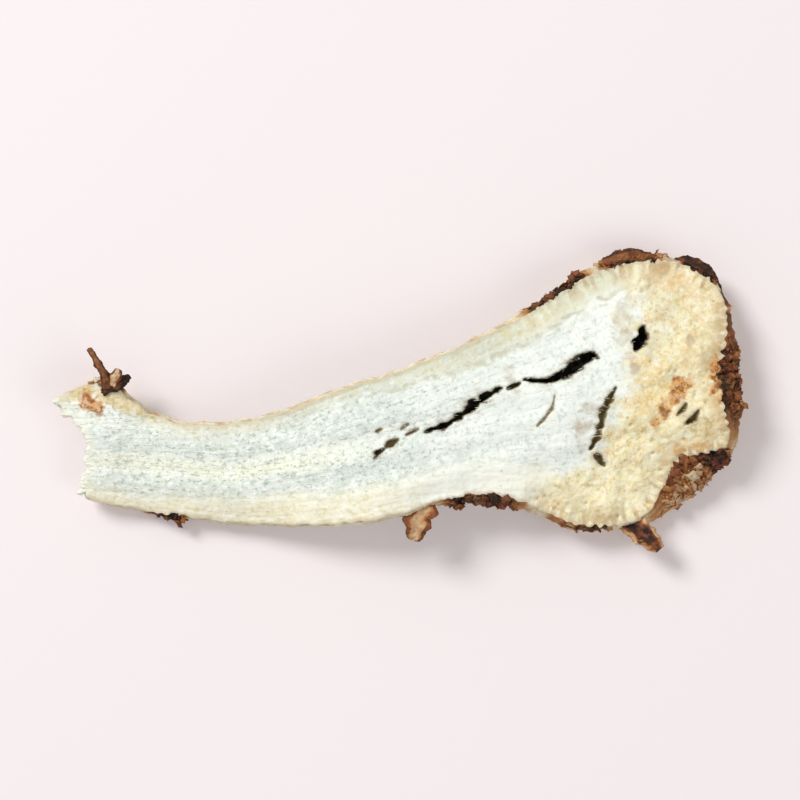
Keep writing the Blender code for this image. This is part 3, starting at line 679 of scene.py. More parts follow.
# The closed slice, and what its materials and its relief read at each point
def sliceObject(body):
    points = []
    record = {"grain": [], "rimFlow": [], "grainWay": []}
    names = (
        "crown", "bark", "rough", "torn", "crack", "crackTone", "halo", "calm", "tone", "cortex", "tooth",
        "stain", "skin", "smudge", "woodShare", "lipShare", "tornShare")
    shares = {name: [] for name in names}

    def note(x, y, edge, side, bark, rimPlace, crackPlace, calm):
        crack, _, crackTone, halo = crackPlace
        (along, across), way = grainAt(x, y)
        record["grain"].append((along, across, faceGap * side))
        record["rimFlow"].append((rimPlace.reach, edge, faceGap * side))
        record["grainWay"].append(way)
        shares["crown"].append(crownShare(x, y))
        shares["bark"].append(bark)
        shares["rough"].append(rimPlace.rough)
        shares["torn"].append(rimPlace.torn)
        shares["crack"].append(crack)
        shares["crackTone"].append(crackTone)
        shares["halo"].append(halo)
        shares["calm"].append(calm)
        shares["tone"].append(rimPlace.tone)
        miss = body.barkEdge(x, y) - cortexWidth(x, y)
        shares["cortex"].append(miss)
        shares["tooth"].append(rimPlace.arc)
        shares["stain"].append(spotShare(stainSpots, x, y))
        shares["skin"].append(spotShare(skinSpots, x, y))
        shares["smudge"].append(spotShare(smudgeAndShadowSpots, x, y))
        marked = min(1.0, shares["stain"][-1] + shares["skin"][-1])
        wood = smooth(-0.5, 1.0, miss) * (1 - shares["crown"][-1]) * (1 - bark) * (1 - marked)
        shares["woodShare"].append(wood * (1 - smooth(0.0, 0.1, crack)))
        shares["lipShare"].append(smooth(0.05, 0.35, crack) * smooth(0.95, 0.6, crack))
        shares["tornShare"].append(rimPlace.torn * smooth(0.9, 0.1, abs(edge)))

    rimCount = len(body.rimPlaces)
    whole = (0.0, 0.0, 0.0, 0.0)
    for side, rim, places, cracks in (
            (1, body.upperRim, body.upperPlaces, Cracks(upperCracks)),
            (-1, body.lowerRim, body.lowerPlaces, Cracks(lowerCracks))):
        for k, (x, y) in enumerate(places):
            near, edge = (k, 0.0) if k < rimCount else rim.nearest(x, y)
            crackPlace = cracks.at(x, y) if k >= rimCount else whole
            height = thickness(x, edge) / 2 + faceRelief(x, y, edge, side) - crackPlace[1]
            z = body.middle(x, y, edge) + side * height
            calm = 1.0
            if side < 0:
                calm = body.footShare(x, y)
                z *= calm
            points.append((x, y, z))
            bark = 0.5 if k < rimCount else 0.0
            note(x, y, edge, side, bark, body.rimPlaces[near], crackPlace, calm)
    upperCount = len(body.upperPlaces)
    rows = [list(range(rimCount))]
    for number in range(1, meshing["barkRings"]):
        down = number / meshing["barkRings"]
        row = []
        for k, (x, y, lift) in enumerate(body.rings[number]):
            top, bottom = points[k][2], points[upperCount + k][2]
            row.append(len(points))
            points.append((x, y, top + (bottom - top) * down + lift))
            note(x, y, barkDrop * down, 1.0 - 2.0 * down, 1.0, body.rimPlaces[k], whole, 1.0)
        rows.append(row)
    rows.append([upperCount + k for k in range(rimCount)])
    faces = list(body.upperFaces)
    faces += [[upperCount + k for k in reversed(corners)] for corners in body.lowerFaces]
    barkFaces = [0] * len(faces)
    for above, below in zip(rows, rows[1:]):
        for k in range(rimCount):
            ahead = (k + 1) % rimCount
            faces.append((above[k], below[k], below[ahead], above[ahead]))
            barkFaces.append(int(body.rimPlaces[k].torn < 0.5))
    made = newObject("rootSlice", points, faces)
    for name, values in record.items():
        storeValues(made.data, name, "FLOAT_VECTOR", values)
    for name, values in shares.items():
        storeValues(made.data, name, "FLOAT", values)
    storeValues(made.data, "barkFace", "BOOLEAN", barkFaces, "FACE")
    return made


body = SliceBody()
rootSlice = sliceObject(body)
print("slice formed:", len(rootSlice.data.polygons), "faces")


# Nodes

def addNode(tree, kind, values=None, **settings):
    node = tree.nodes.new(kind)
    for name, value in settings.items():
        setattr(node, name, value)
    for socket, value in (values or {}).items():
        if isinstance(value, bpy.types.NodeSocket):
            tree.links.new(value, node.inputs[socket])
        else:
            node.inputs[socket].default_value = value
    return node


def calc(tree, operation, *values):
    return addNode(tree, "ShaderNodeMath", dict(enumerate(values)), operation=operation).outputs[0]


def product(tree, *values):
    result = values[0]
    for value in values[1:]:
        result = calc(tree, "MULTIPLY", result, value)
    return result


def total(tree, *values):
    result = values[0]
    for value in values[1:]:
        result = calc(tree, "ADD", result, value)
    return result


def inverse(tree, value):
    return calc(tree, "SUBTRACT", 1.0, value)


def ease(tree, value, low, high, least=0.0, most=1.0):
    values = {0: value, 1: low, 2: high, 3: least, 4: most}
    return addNode(tree, "ShaderNodeMapRange", values, interpolation_type="SMOOTHSTEP").outputs[0]


def combined(tree, operation, first, second):
    return addNode(tree, "ShaderNodeVectorMath", {0: first, 1: second}, operation=operation).outputs[0]


def scaled(tree, vector, size):
    return addNode(tree, "ShaderNodeVectorMath", {0: vector, 3: size}, operation="SCALE").outputs[0]


def vectorOf(tree, *parts):
    return addNode(tree, "ShaderNodeCombineXYZ", dict(enumerate(parts))).outputs[0]


def parts(tree, vector):
    return addNode(tree, "ShaderNodeSeparateXYZ", {0: vector}).outputs


# How far a value is from a level
def missOf(tree, value, level):
    return calc(tree, "ABSOLUTE", calc(tree, "SUBTRACT", value, level))


def stretched(tree, vector, *sizes):
    return combined(tree, "DIVIDE", vector, vectorOf(tree, *sizes))


def cloud(tree, vector, scale, seed, detail=2.0, rough=0.5):
    values = {"Vector": vector, "W": seed, "Scale": scale, "Detail": detail, "Roughness": rough}
    return addNode(tree, "ShaderNodeTexNoise", values, noise_dimensions="4D").outputs[0]


# Noise from about -1 to 1
def wave(tree, vector, scale, seed, detail=2.0):
    return product(tree, calc(tree, "SUBTRACT", cloud(tree, vector, scale, seed, detail), 0.5), 2.0)


def cells(tree, vector, scale):
    return addNode(tree, "ShaderNodeTexVoronoi", {"Vector": vector, "Scale": scale})


# Geometry Nodes

def newTree(name, values):
    tree = bpy.data.node_groups.new(name, "GeometryNodeTree")
    tree.interface.new_socket(name="Geometry", in_out="INPUT", socket_type="NodeSocketGeometry")
    tree.interface.new_socket(name="Geometry", in_out="OUTPUT", socket_type="NodeSocketGeometry")
    kinds = {int: "NodeSocketInt", float: "NodeSocketFloat", str: "NodeSocketString"}
    for key, value in values.items():
        kind = kinds.get(type(value), "NodeSocketMaterial")
        tree.interface.new_socket(name=key, in_out="INPUT", socket_type=kind)
    return tree, addNode(tree, "NodeGroupInput").outputs, addNode(tree, "NodeGroupOutput").inputs


def inMetres(tree, value):
    return product(tree, value, mm)


def positionOf(tree):
    return addNode(tree, "GeometryNodeInputPosition").outputs[0]


def named(tree, name, kind="FLOAT"):
    return addNode(tree, "GeometryNodeInputNamedAttribute", {"Name": name}, data_type=kind).outputs[0]


def randomValue(tree, low, high, seed):
    return addNode(tree, "FunctionNodeRandomValue", {2: low, 3: high, 8: seed}, data_type="FLOAT").outputs[1]


def moved(tree, geometry, offset):
    return addNode(tree, "GeometryNodeSetPosition", {"Geometry": geometry, "Offset": offset}).outputs[0]


# The geometry moved out along its normals by a height in millimetres, which is kept on it as relief
def raised(tree, geometry, height):
    normal = addNode(tree, "GeometryNodeInputNormal").outputs[0]
    kept = stored(tree, geometry, "relief", height)
    return moved(tree, kept, scaled(tree, normal, inMetres(tree, height)))


def stored(tree, geometry, name, value, domain="POINT"):
    values = {"Geometry": geometry, "Name": name, "Value": value}
    kind = "GeometryNodeStoreNamedAttribute"
    return addNode(tree, kind, values, data_type="FLOAT", domain=domain).outputs[0]


def realized(tree, geometry):
    return addNode(tree, "GeometryNodeRealizeInstances", {0: geometry}).outputs[0]


def withMaterial(tree, geometry, material, selection=True):
    values = {"Geometry": geometry, "Selection": selection, "Material": material}
    return addNode(tree, "GeometryNodeSetMaterial", values).outputs[0]


def runTree(made, tree, values):
    modifier = made.modifiers.new(tree.name, "NODES")
    modifier.node_group = tree
    for item in tree.interface.items_tree:
        if item.in_out == "INPUT" and item.name in values:
            modifier[item.identifier] = values[item.name]
    graph = bpy.context.evaluated_depsgraph_get()
    data = bpy.data.meshes.new_from_object(made.evaluated_get(graph))
    made.modifiers.clear()
    made.data = data
    return made


# Materials

fleshColours = {
    "wood": (234, 241, 233),
    "woodTail": (249, 252, 239),
    "woodBright": (252, 255, 247),
    "woodGrey": (214, 222, 214),
    "streak": (204, 213, 203),
    "fleck": (120, 128, 114),
    "speck": (166, 180, 164),
    "pith": (247, 246, 222),
    "cortexAbove": (222, 225, 206),
    "cortexBelow": (247, 243, 220),
    "cortexTail": (239, 232, 206),
    "cambium": (190, 188, 162),
    "crownPale": (244, 235, 194),
    "crownBright": (255, 245, 199),
    "crownMint": (230, 234, 211),
    "crownPeach": (240, 208, 170),
    "crownYellow": (241, 216, 158),
    "crownWarm": (231, 187, 128),
    "crownMoss": (219, 210, 154),
    "crownShade": (208, 180, 122),
    "oilDot": (182, 140, 88),
    # the rim's dried brown, also laid into the flesh's hollows as painted shade
    "rim": (204, 190, 158),
    "tornLip": (247, 247, 232),
    "skinPale": (237, 222, 180),
    "skinOlive": (194, 174, 124),
    "stain": (210, 157, 84),
    "stainOrange": (222, 154, 84),
    "stainDark": (132, 80, 42),
    # pinkish grey smudges, some of them painted shadow beside the slot
    "smudge": (190, 172, 146),
    # random specks on the crown and the skin, and painted shade between the teeth of the crown's rim
    "speckAndShade": (188, 150, 100),
    "slot": (118, 102, 60),
    # near black: painted shade deep inside the cracks
    "crack": (18, 15, 11),
    # the crack walls' brown, partly painted shade darkening towards the depth
    "shadedCrackWall": (126, 108, 78),
    # greyish brown round the cracks, partly painted shade at their lips
    "halo": (186, 172, 146),
}

barkColours = (
    (0.0, (28, 19, 13)),
    (0.2, (74, 43, 25)),
    (0.38, (132, 80, 42)),
    (0.55, (182, 124, 70)),
    (0.73, (203, 171, 130)),
    (0.88, (223, 209, 177)),
    (1.0, (238, 229, 205)),
)
barkRed = (158, 88, 56)
barkMoss = (128, 112, 68)

fibreColours = {
    "grey": (226, 226, 208),
    "white": (249, 249, 240),
    "tan": (216, 200, 164),
}


def newMaterial(name):
    material = bpy.data.materials.new(name)
    material.use_nodes = True
    tree = material.node_tree
    return material, tree, tree.nodes["Principled BSDF"]


def attribute(tree, name, output="Fac"):
    return addNode(tree, "ShaderNodeAttribute", attribute_name=name).outputs[output]


# The place on the piece in millimetres
def placeInMm(tree):
    return scaled(tree, addNode(tree, "ShaderNodeTexCoord").outputs["Object"], 1 / mm)


def tint(tree, share, first, second):
    values = {0: share}
    for socket, colour in ((6, first), (7, second)):
        values[socket] = colour if isinstance(colour, bpy.types.NodeSocket) else linearColour(*colour)
    return addNode(tree, "ShaderNodeMix", values, data_type="RGBA").outputs[2]


def bumped(tree, height, distance, strength):
    values = {"Height": height, "Distance": distance * mm, "Strength": strength}
    return addNode(tree, "ShaderNodeBump", values).outputs[0]


# What the parts of the cut flesh share: each place in millimetres, how far along the root and from the
# rim it lies, how far past the inner bark (miss) or into the crown, and the noises that several of them
# read
class FleshNodes:

    def __init__(self, tree):
        self.place = placeInMm(tree)
        self.grain = attribute(tree, "grain", "Vector")
        self.flow = attribute(tree, "rimFlow", "Vector")
        self.along, self.across, _ = parts(tree, self.grain)
        self.edge = parts(tree, self.flow)[1]
        self.miss = attribute(tree, "cortex")
        self.crown = attribute(tree, "crown")
        self.tail = ease(tree, self.along, 2.0, -24.0)
        self.mottle = cloud(tree, self.place, 1.5, 17.0, 3.0, 0.65)
        self.freckles = cloud(tree, stretched(tree, self.grain, 0.75, 0.5, 1.0), 1.0, 28.0, 3.0, 0.6)
        self.grit = cloud(tree, self.place, 4.2, 18.0, 2.0, 0.6)
        self.streaks = cloud(tree, stretched(tree, self.grain, 2.4, 0.2, 1.0), 1.0, 2.0, 3.0, 0.6)
        self.flecks = cloud(tree, stretched(tree, self.grain, 0.5, 0.3, 1.0), 1.0, 3.0, 2.0, 0.55)
        self.patches = cloud(tree, self.place, 0.55, 6.0, 3.0, 0.6)
        self.spots = cloud(tree, self.place, 1.0, 10.0, 4.0, 0.65)
        self.grains = cloud(tree, self.place, 3.2, 11.0, 2.0, 0.6)
        rays = cloud(tree, stretched(tree, self.flow, 0.5, 3.2, 1.0), 1.0, 5.0, 3.0, 0.6)
        self.rayShare = ease(tree, rays, 0.5, 0.75, 0.0, 0.6)
        dots = cells(tree, self.place, 0.85)
        chance = addNode(tree, "ShaderNodeSeparateColor", {0: dots.outputs["Color"]}).outputs[0]
        nearDot = ease(tree, dots.outputs["Distance"], 0.2, 0.08)
        self.dotShare = product(tree, nearDot, ease(tree, chance, 0.55, 0.6))


# A colour with others of the flesh laid over it in turn, each by its share
def layered(tree, colour, *layers):
    for share, name in layers:
        colour = tint(tree, share, colour, fleshColours[name])
    return colour


# Wood: bluish white with faint streaks, short grey flecks, and a cream pith along the tail
def woodColour(tree, at):
    c = fleshColours
    longStreaks = cloud(tree, stretched(tree, at.grain, 8.0, 0.6, 1.0), 1.0, 1.0, 4.0, 0.62)
    clouds = cloud(tree, at.place, 0.17, 4.0, 3.0, 0.55)
    specks = cloud(tree, at.place, 2.4, 27.0, 3.0, 0.65)
    bands = missOf(tree, at.across, 0.4)
    bands = total(tree, bands, product(tree, wave(tree, at.place, 0.5, 24.0, 3.0), 1.2))
    greyShare = product(tree, ease(tree, bands, 1.2, 2.6), ease(tree, bands, 7.4, 5.6),
                        ease(tree, at.along, 6.0, -8.0))
    pithShare = product(tree, ease(tree, bands, 2.0, 0.5), ease(tree, at.along, 2.0, -12.0), 0.8)
    streakShare = product(tree, ease(tree, longStreaks, 0.5, 0.75), ease(tree, at.tail, 0.0, 1.0, 0.3, 0.5))
    speckShare = product(tree, ease(tree, specks, 0.53, 0.66), ease(tree, at.along, 12.0, -6.0, 0.5, 0.9))
    fleckChance = total(tree, ease(tree, at.tail, 0.0, 1.0, 0.3, 0.55), product(tree, greyShare, 0.3))
    fleckShare = product(tree, ease(tree, at.flecks, 0.6, 0.72), ease(tree, clouds, 0.66, 0.36), fleckChance)
    return layered(
        tree, tint(tree, at.tail, c["wood"], c["woodTail"]),
        (ease(tree, clouds, 0.42, 0.7), "woodBright"),
        (product(tree, greyShare, 0.55), "woodGrey"),
        (pithShare, "pith"),
        (streakShare, "streak"),
        (ease(tree, at.streaks, 0.54, 0.8, 0.0, 0.35), "streak"),
        (ease(tree, at.mottle, 0.48, 0.62, 0.0, 0.7), "woodBright"),
        (ease(tree, at.mottle, 0.46, 0.3, 0.0, 0.6), "streak"),
        (ease(tree, at.freckles, 0.53, 0.68, 0.0, 0.75), "speck"),
        (ease(tree, at.along, -2.0, 12.0, 0.0, 0.45), "woodBright"),
        (product(tree, speckShare, 0.7), "speck"),
        (fleckShare, "fleck"))


# Inner bark: cream, minty where it meets the crown above, with rays towards the rim and oil dots
def cortexColour(tree, at):
    c = fleshColours
    upperSide = ease(tree, at.across, -3.0, 3.0)
    toCrown = ease(tree, at.along, 2.0, 17.0)
    yellowShare = product(tree, at.rayShare, ease(tree, toCrown, 0.0, 1.0, 0.3, 1.0))
    warmShare = product(tree, ease(tree, at.patches, 0.5, 0.75), ease(tree, toCrown, 0.0, 1.0, 0.2, 0.42))
    crownAbove = product(tree, ease(tree, at.along, 13.0, 19.0), ease(tree, at.along, 26.0, 23.0), upperSide)
    neckBelow = product(tree, ease(tree, at.along, -4.0, 5.0), ease(tree, at.along, 17.0, 11.0),
                        inverse(tree, upperSide))
    return layered(
        tree, tint(tree, upperSide, c["cortexBelow"], c["cortexAbove"]),
        (ease(tree, at.along, -4.0, -22.0, 0.0, 0.7), "cortexTail"),
        (ease(tree, at.along, 8.0, 20.0, 0.0, 0.6), "crownPale"),
        (yellowShare, "crownYellow"),
        (warmShare, "crownWarm"),
        (ease(tree, at.mottle, 0.5, 0.32, 0.0, 0.55), "crownMoss"),
        (ease(tree, at.freckles, 0.54, 0.68, 0.0, 0.4), "crownShade"),
        (ease(tree, at.mottle, 0.52, 0.66, 0.0, 0.5), "woodBright"),
        (product(tree, crownAbove, 0.6), "crownMint"),
        (product(tree, neckBelow, 0.7), "woodBright"),
        (product(tree, at.dotShare, 0.35), "oilDot"))


# Crown: mottled yellow and tan, with mossy and warm patches
def crownColour(tree, at):
    c = fleshColours
    broad = cloud(tree, at.place, 0.26, 9.0, 4.0, 0.6)
    mossy = cloud(tree, at.place, 0.7, 12.0, 4.0, 0.65)
    upper = ease(tree, at.across, 2.0, 5.0)
    deepIn = ease(tree, at.miss, -0.8, 1.4)
    ringWarmth = product(tree, upper, inverse(tree, deepIn), ease(tree, at.patches, 0.42, 0.6), 0.6)
    return layered(
        tree, tint(tree, ease(tree, broad, 0.38, 0.58), c["crownPale"], c["crownYellow"]),
        (ease(tree, at.across, 2.0, -4.0, 0.0, 0.85), "crownBright"),
        (ease(tree, at.along, 27.0, 32.0, 0.0, 0.5), "crownBright"),
        (product(tree, upper, deepIn, 0.55), "crownMint"),
        (ringWarmth, "crownPeach"),
        (ease(tree, at.spots, 0.5, 0.66, 0.0, 0.68), "crownWarm"),
        (ease(tree, mossy, 0.52, 0.68, 0.0, 0.75), "crownMoss"),
        (ease(tree, at.mottle, 0.5, 0.64, 0.0, 0.8), "cortexBelow"),
        (ease(tree, at.mottle, 0.48, 0.32, 0.0, 0.65), "crownShade"),
        (ease(tree, at.freckles, 0.54, 0.68, 0.0, 0.5), "crownShade"),
        (ease(tree, at.grains, 0.55, 0.75, 0.0, 0.5), "cortexBelow"),
        (ease(tree, at.grit, 0.44, 0.28, 0.0, 0.5), "speckAndShade"),
        (product(tree, at.rayShare, ease(tree, at.edge, 4.5, 1.5)), "cortexBelow"),
        (product(tree, at.dotShare, 0.6), "oilDot"))


# The three kinds of flesh with soft borders, and a broken grey line between wood and inner bark
def joinedFlesh(tree, at):
    miss = total(tree, at.miss, product(tree, wave(tree, at.place, 0.6, 7.0, 4.0), 0.9))
    flesh = tint(tree, ease(tree, miss, -1.3, 1.1), cortexColour(tree, at), woodColour(tree, at))
    lineShare = product(tree, ease(tree, calc(tree, "ABSOLUTE", miss), 0.4, 0.05),
                        ease(tree, cloud(tree, at.place, 0.9, 8.0), 0.4, 0.6),
                        ease(tree, at.along, -16.0, 6.0, 0.15, 0.6),
                        ease(tree, at.across, -6.0, 2.0, 0.3, 1.0))
    flesh = layered(tree, flesh, (lineShare, "cambium"))
    stray = product(tree, wave(tree, at.place, 0.7, 13.0, 5.0), 0.75)
    crownHere = ease(tree, total(tree, at.crown, stray), 0.1, 0.95)
    ring = ease(tree, at.miss, -1.6, 1.0, 0.6, 1.0)  # the crown's inner bark stays paler
    return tint(tree, product(tree, crownHere, ring), flesh, crownColour(tree, at))


# Smudges, some of them painted shadow, painted shade in the valleys between the teeth of the crown's rim
# and in the hollows, and the rim, which has dried brown but not where it is torn
def weatheredAndShaded(tree, at, flesh):
    torn = attribute(tree, "torn")
    smudge = total(tree, attribute(tree, "smudge"), product(tree, wave(tree, at.place, 1.1, 29.0, 5.0), 0.9))
    # painted shade in the notches between the teeth of the crown's rim
    toothShade = product(tree, ease(tree, attribute(tree, "tooth"), 0.8, 0.2), ease(tree, at.edge, 2.4, 0.1),
                      ease(tree, at.along, 8.0, 22.0), ease(tree, at.patches, 0.3, 0.6, 0.3, 1.0))
    nearRim = total(tree, at.edge, product(tree, wave(tree, at.place, 1.6, 14.0, 3.0), 0.5))
    return layered(
        tree, flesh,
        # smudges, partly painted shadow beside the slot
        (ease(tree, smudge, 0.1, 1.4, 0.0, 0.75), "smudge"),
        (product(tree, toothShade, 0.75), "speckAndShade"),
        # painted shade: the rim colour laid in where the relief sinks into hollows
        (ease(tree, attribute(tree, "relief"), -0.02, -0.2, 0.0, 0.35), "rim"),
        (product(tree, ease(tree, nearRim, 0.6, 0.1), 0.6, inverse(tree, torn)), "rim"),
        (product(tree, ease(tree, nearRim, 1.0, 0.3), 0.85, torn), "tornLip"))


# Skin left on the tail's corner and in a patch on the crown, and the brown stains
def stained(tree, at, flesh):
    c = fleshColours
    skin = total(tree, attribute(tree, "skin"), product(tree, wave(tree, at.place, 1.1, 25.0, 4.0), 0.3))
    skinColour = tint(tree, ease(tree, at.spots, 0.4, 0.62), c["skinPale"], c["skinOlive"])
    skinColour = layered(tree, skinColour, (ease(tree, at.flecks, 0.5, 0.7, 0.0, 0.6), "speckAndShade"))
    flesh = tint(tree, ease(tree, skin, 0.25, 0.65, 0.0, 0.9), flesh, skinColour)
    mark = attribute(tree, "stain")
    stain = total(tree, mark, product(tree, wave(tree, at.place, 1.2, 15.0, 6.0), 0.9))
    stainColour = tint(tree, ease(tree, at.spots, 0.42, 0.6), c["stain"], c["stainOrange"])
    stainHere = product(tree, ease(tree, stain, 0.1, 1.15), ease(tree, mark, 0.0, 0.2))
    flesh = tint(tree, product(tree, stainHere, 0.9), flesh, stainColour)
    darkness = product(tree, stainHere, ease(tree, mark, 0.4, 0.9), ease(tree, at.mottle, 0.46, 0.56), 0.85)
    return layered(tree, flesh, (darkness, "stainDark"))


# Cracks, black with painted shade, their walls and the greyish brown halo round them, both partly painted
# shade
def cracked(tree, at, flesh):
    c = fleshColours
    # halo round the cracks, partly painted shade at their lips
    halo = product(tree, attribute(tree, "halo"), ease(tree, at.mottle, 0.36, 0.6), 0.55)
    splinters = wave(tree, stretched(tree, at.grain, 0.9, 0.2, 1.0), 1.0, 26.0)
    ragged = total(tree, attribute(tree, "crack"), product(tree, splinters, 0.2))
    # the halo and the walls, both partly painted shade, the walls darkening towards the crack
    flesh = layered(tree, flesh, (halo, "halo"), (ease(tree, ragged, 0.08, 0.45, 0.0, 0.75), "shadedCrackWall"))
    # black painted shade inside the cracks, turning to the slot's own olive where the tone is high
    inside = tint(tree, attribute(tree, "crackTone"), c["crack"], c["slot"])
    return tint(tree, ease(tree, ragged, 0.35, 0.85), flesh, inside)


def fleshMaterial():
    material, tree, shader = newMaterial("cut flesh")
    at = FleshNodes(tree)
    flesh = stained(tree, at, weatheredAndShaded(tree, at, joinedFlesh(tree, at)))
    tree.links.new(cracked(tree, at, flesh), shader.inputs["Base Color"])
    tree.links.new(ease(tree, at.mottle, 0.3, 0.7, 0.74, 0.94), shader.inputs["Roughness"])
    shader.inputs["Specular IOR Level"].default_value = 0.25
    woodHeight = total(tree, product(tree, at.streaks, 0.4), product(tree, at.flecks, -0.5),
                       product(tree, at.grit, 0.5))
    headHeight = total(tree, product(tree, at.grains, 0.5), product(tree, at.spots, 0.6),
                       product(tree, at.grit, 0.4))
    height = addNode(tree, "ShaderNodeMix", {0: at.crown, 2: woodHeight, 3: headHeight}).outputs[0]
    tree.links.new(bumped(tree, height, 0.1, 0.8), shader.inputs["Normal"])
    return material


def barkMaterial():
    material, tree, shader = newMaterial("root bark")
    place = placeInMm(tree)
    tone = attribute(tree, "tone")
    broad = wave(tree, place, 0.9, 21.0, 3.0)
    fine = wave(tree, place, 3.6, 22.0, 3.0)
    pits = cells(tree, place, 2.4).outputs["Distance"]
    # tone with random variation, plus painted light and shade: raised relief paler, its creases darker
    mixed = total(tree, tone, product(tree, broad, 0.26), product(tree, fine, 0.16),
                  product(tree, attribute(tree, "relief"), 0.9))
    mixed = calc(tree, "MINIMUM", mixed, total(tree, tone, 0.1))  # so no crumb is much paler than its place
    mixed = calc(tree, "SUBTRACT", mixed, product(tree, ease(tree, pits, 0.2, 0.02), 0.25))
    edge = parts(tree, attribute(tree, "rimFlow", "Vector"))[1]
    seam = product(tree, ease(tree, edge, -0.9, -0.1), ease(tree, edge, 0.3, -0.05), attribute(tree, "rough"))
    mixed = calc(tree, "SUBTRACT", mixed, product(tree, seam, 0.22))
    ramp = addNode(tree, "ShaderNodeValToRGB", {0: mixed})
    stops = ramp.color_ramp.elements
    while len(stops) < len(barkColours):
        stops.new(0.5)
    for stop, (position, colour) in zip(stops, barkColours):
        stop.position = position
        stop.color = linearColour(*colour)
    skin = ramp.outputs[0]
    red = product(tree, ease(tree, cloud(tree, place, 0.9, 30.0, 3.0), 0.48, 0.62),
                  ease(tree, tone, 0.8, 0.6), 0.55)
    skin = tint(tree, red, skin, barkRed)
    moss = product(tree, ease(tree, cloud(tree, place, 0.6, 23.0, 3.0), 0.54, 0.72), 0.35)
    tree.links.new(tint(tree, moss, skin, barkMoss), shader.inputs["Base Color"])
    tree.links.new(ease(tree, fine, -0.6, 0.6, 0.62, 0.9), shader.inputs["Roughness"])
    shader.inputs["Specular IOR Level"].default_value = 0.35
    height = total(tree, product(tree, fine, 0.5), product(tree, pits, 0.5))
    tree.links.new(bumped(tree, height, 0.12, 0.9), shader.inputs["Normal"])
    return material


def fibreMaterial():
    material, tree, shader = newMaterial("loose fibre")
    place = placeInMm(tree)
    pale = tint(tree, attribute(tree, "tone"), fibreColours["grey"], fibreColours["white"])
    tanShare = ease(tree, cloud(tree, place, 1.4, 31.0), 0.55, 0.8, 0.0, 0.4)
    pale = tint(tree, tanShare, pale, fibreColours["tan"])
    tree.links.new(pale, shader.inputs["Base Color"])
    shader.inputs["Roughness"].default_value = 0.8
    shader.inputs["Specular IOR Level"].default_value = 0.3
    return material


flesh = fleshMaterial()
bark = barkMaterial()
fibre = fibreMaterial()
print("materials made")


# Fine relief of the slice, in millimetres

fineRelief = {
    "Fibre height": 0.055,
    "Fibre pitch": 0.5,
    "Fibre length": 4.0,
    "Groove depth": 0.06,
    "Groove pitch": 1.3,
    "Groove length": 12.0,
    "Wood grain": 0.075,
    "Wood grain size": 0.45,
    "Crown lump": 0.24,
    "Crown lump size": 0.85,
    "Crown grain": 0.13,
    "Crown grain size": 0.38,
    "Pit depth": 0.28,
    "Pit spacing": 1.1,
    "Ray height": 0.13,
    "Ray pitch": 0.55,
    "Ray length": 3.0,
    "Skin wrinkle": 0.16,
    "Skin wrinkle size": 0.6,
    "Skin wrinkle length": 2.4,
    "Rough lump": 0.34,
    "Rough lump size": 0.75,
    "Seed": 3,
    "Flesh": flesh,
    "Bark": bark,
}


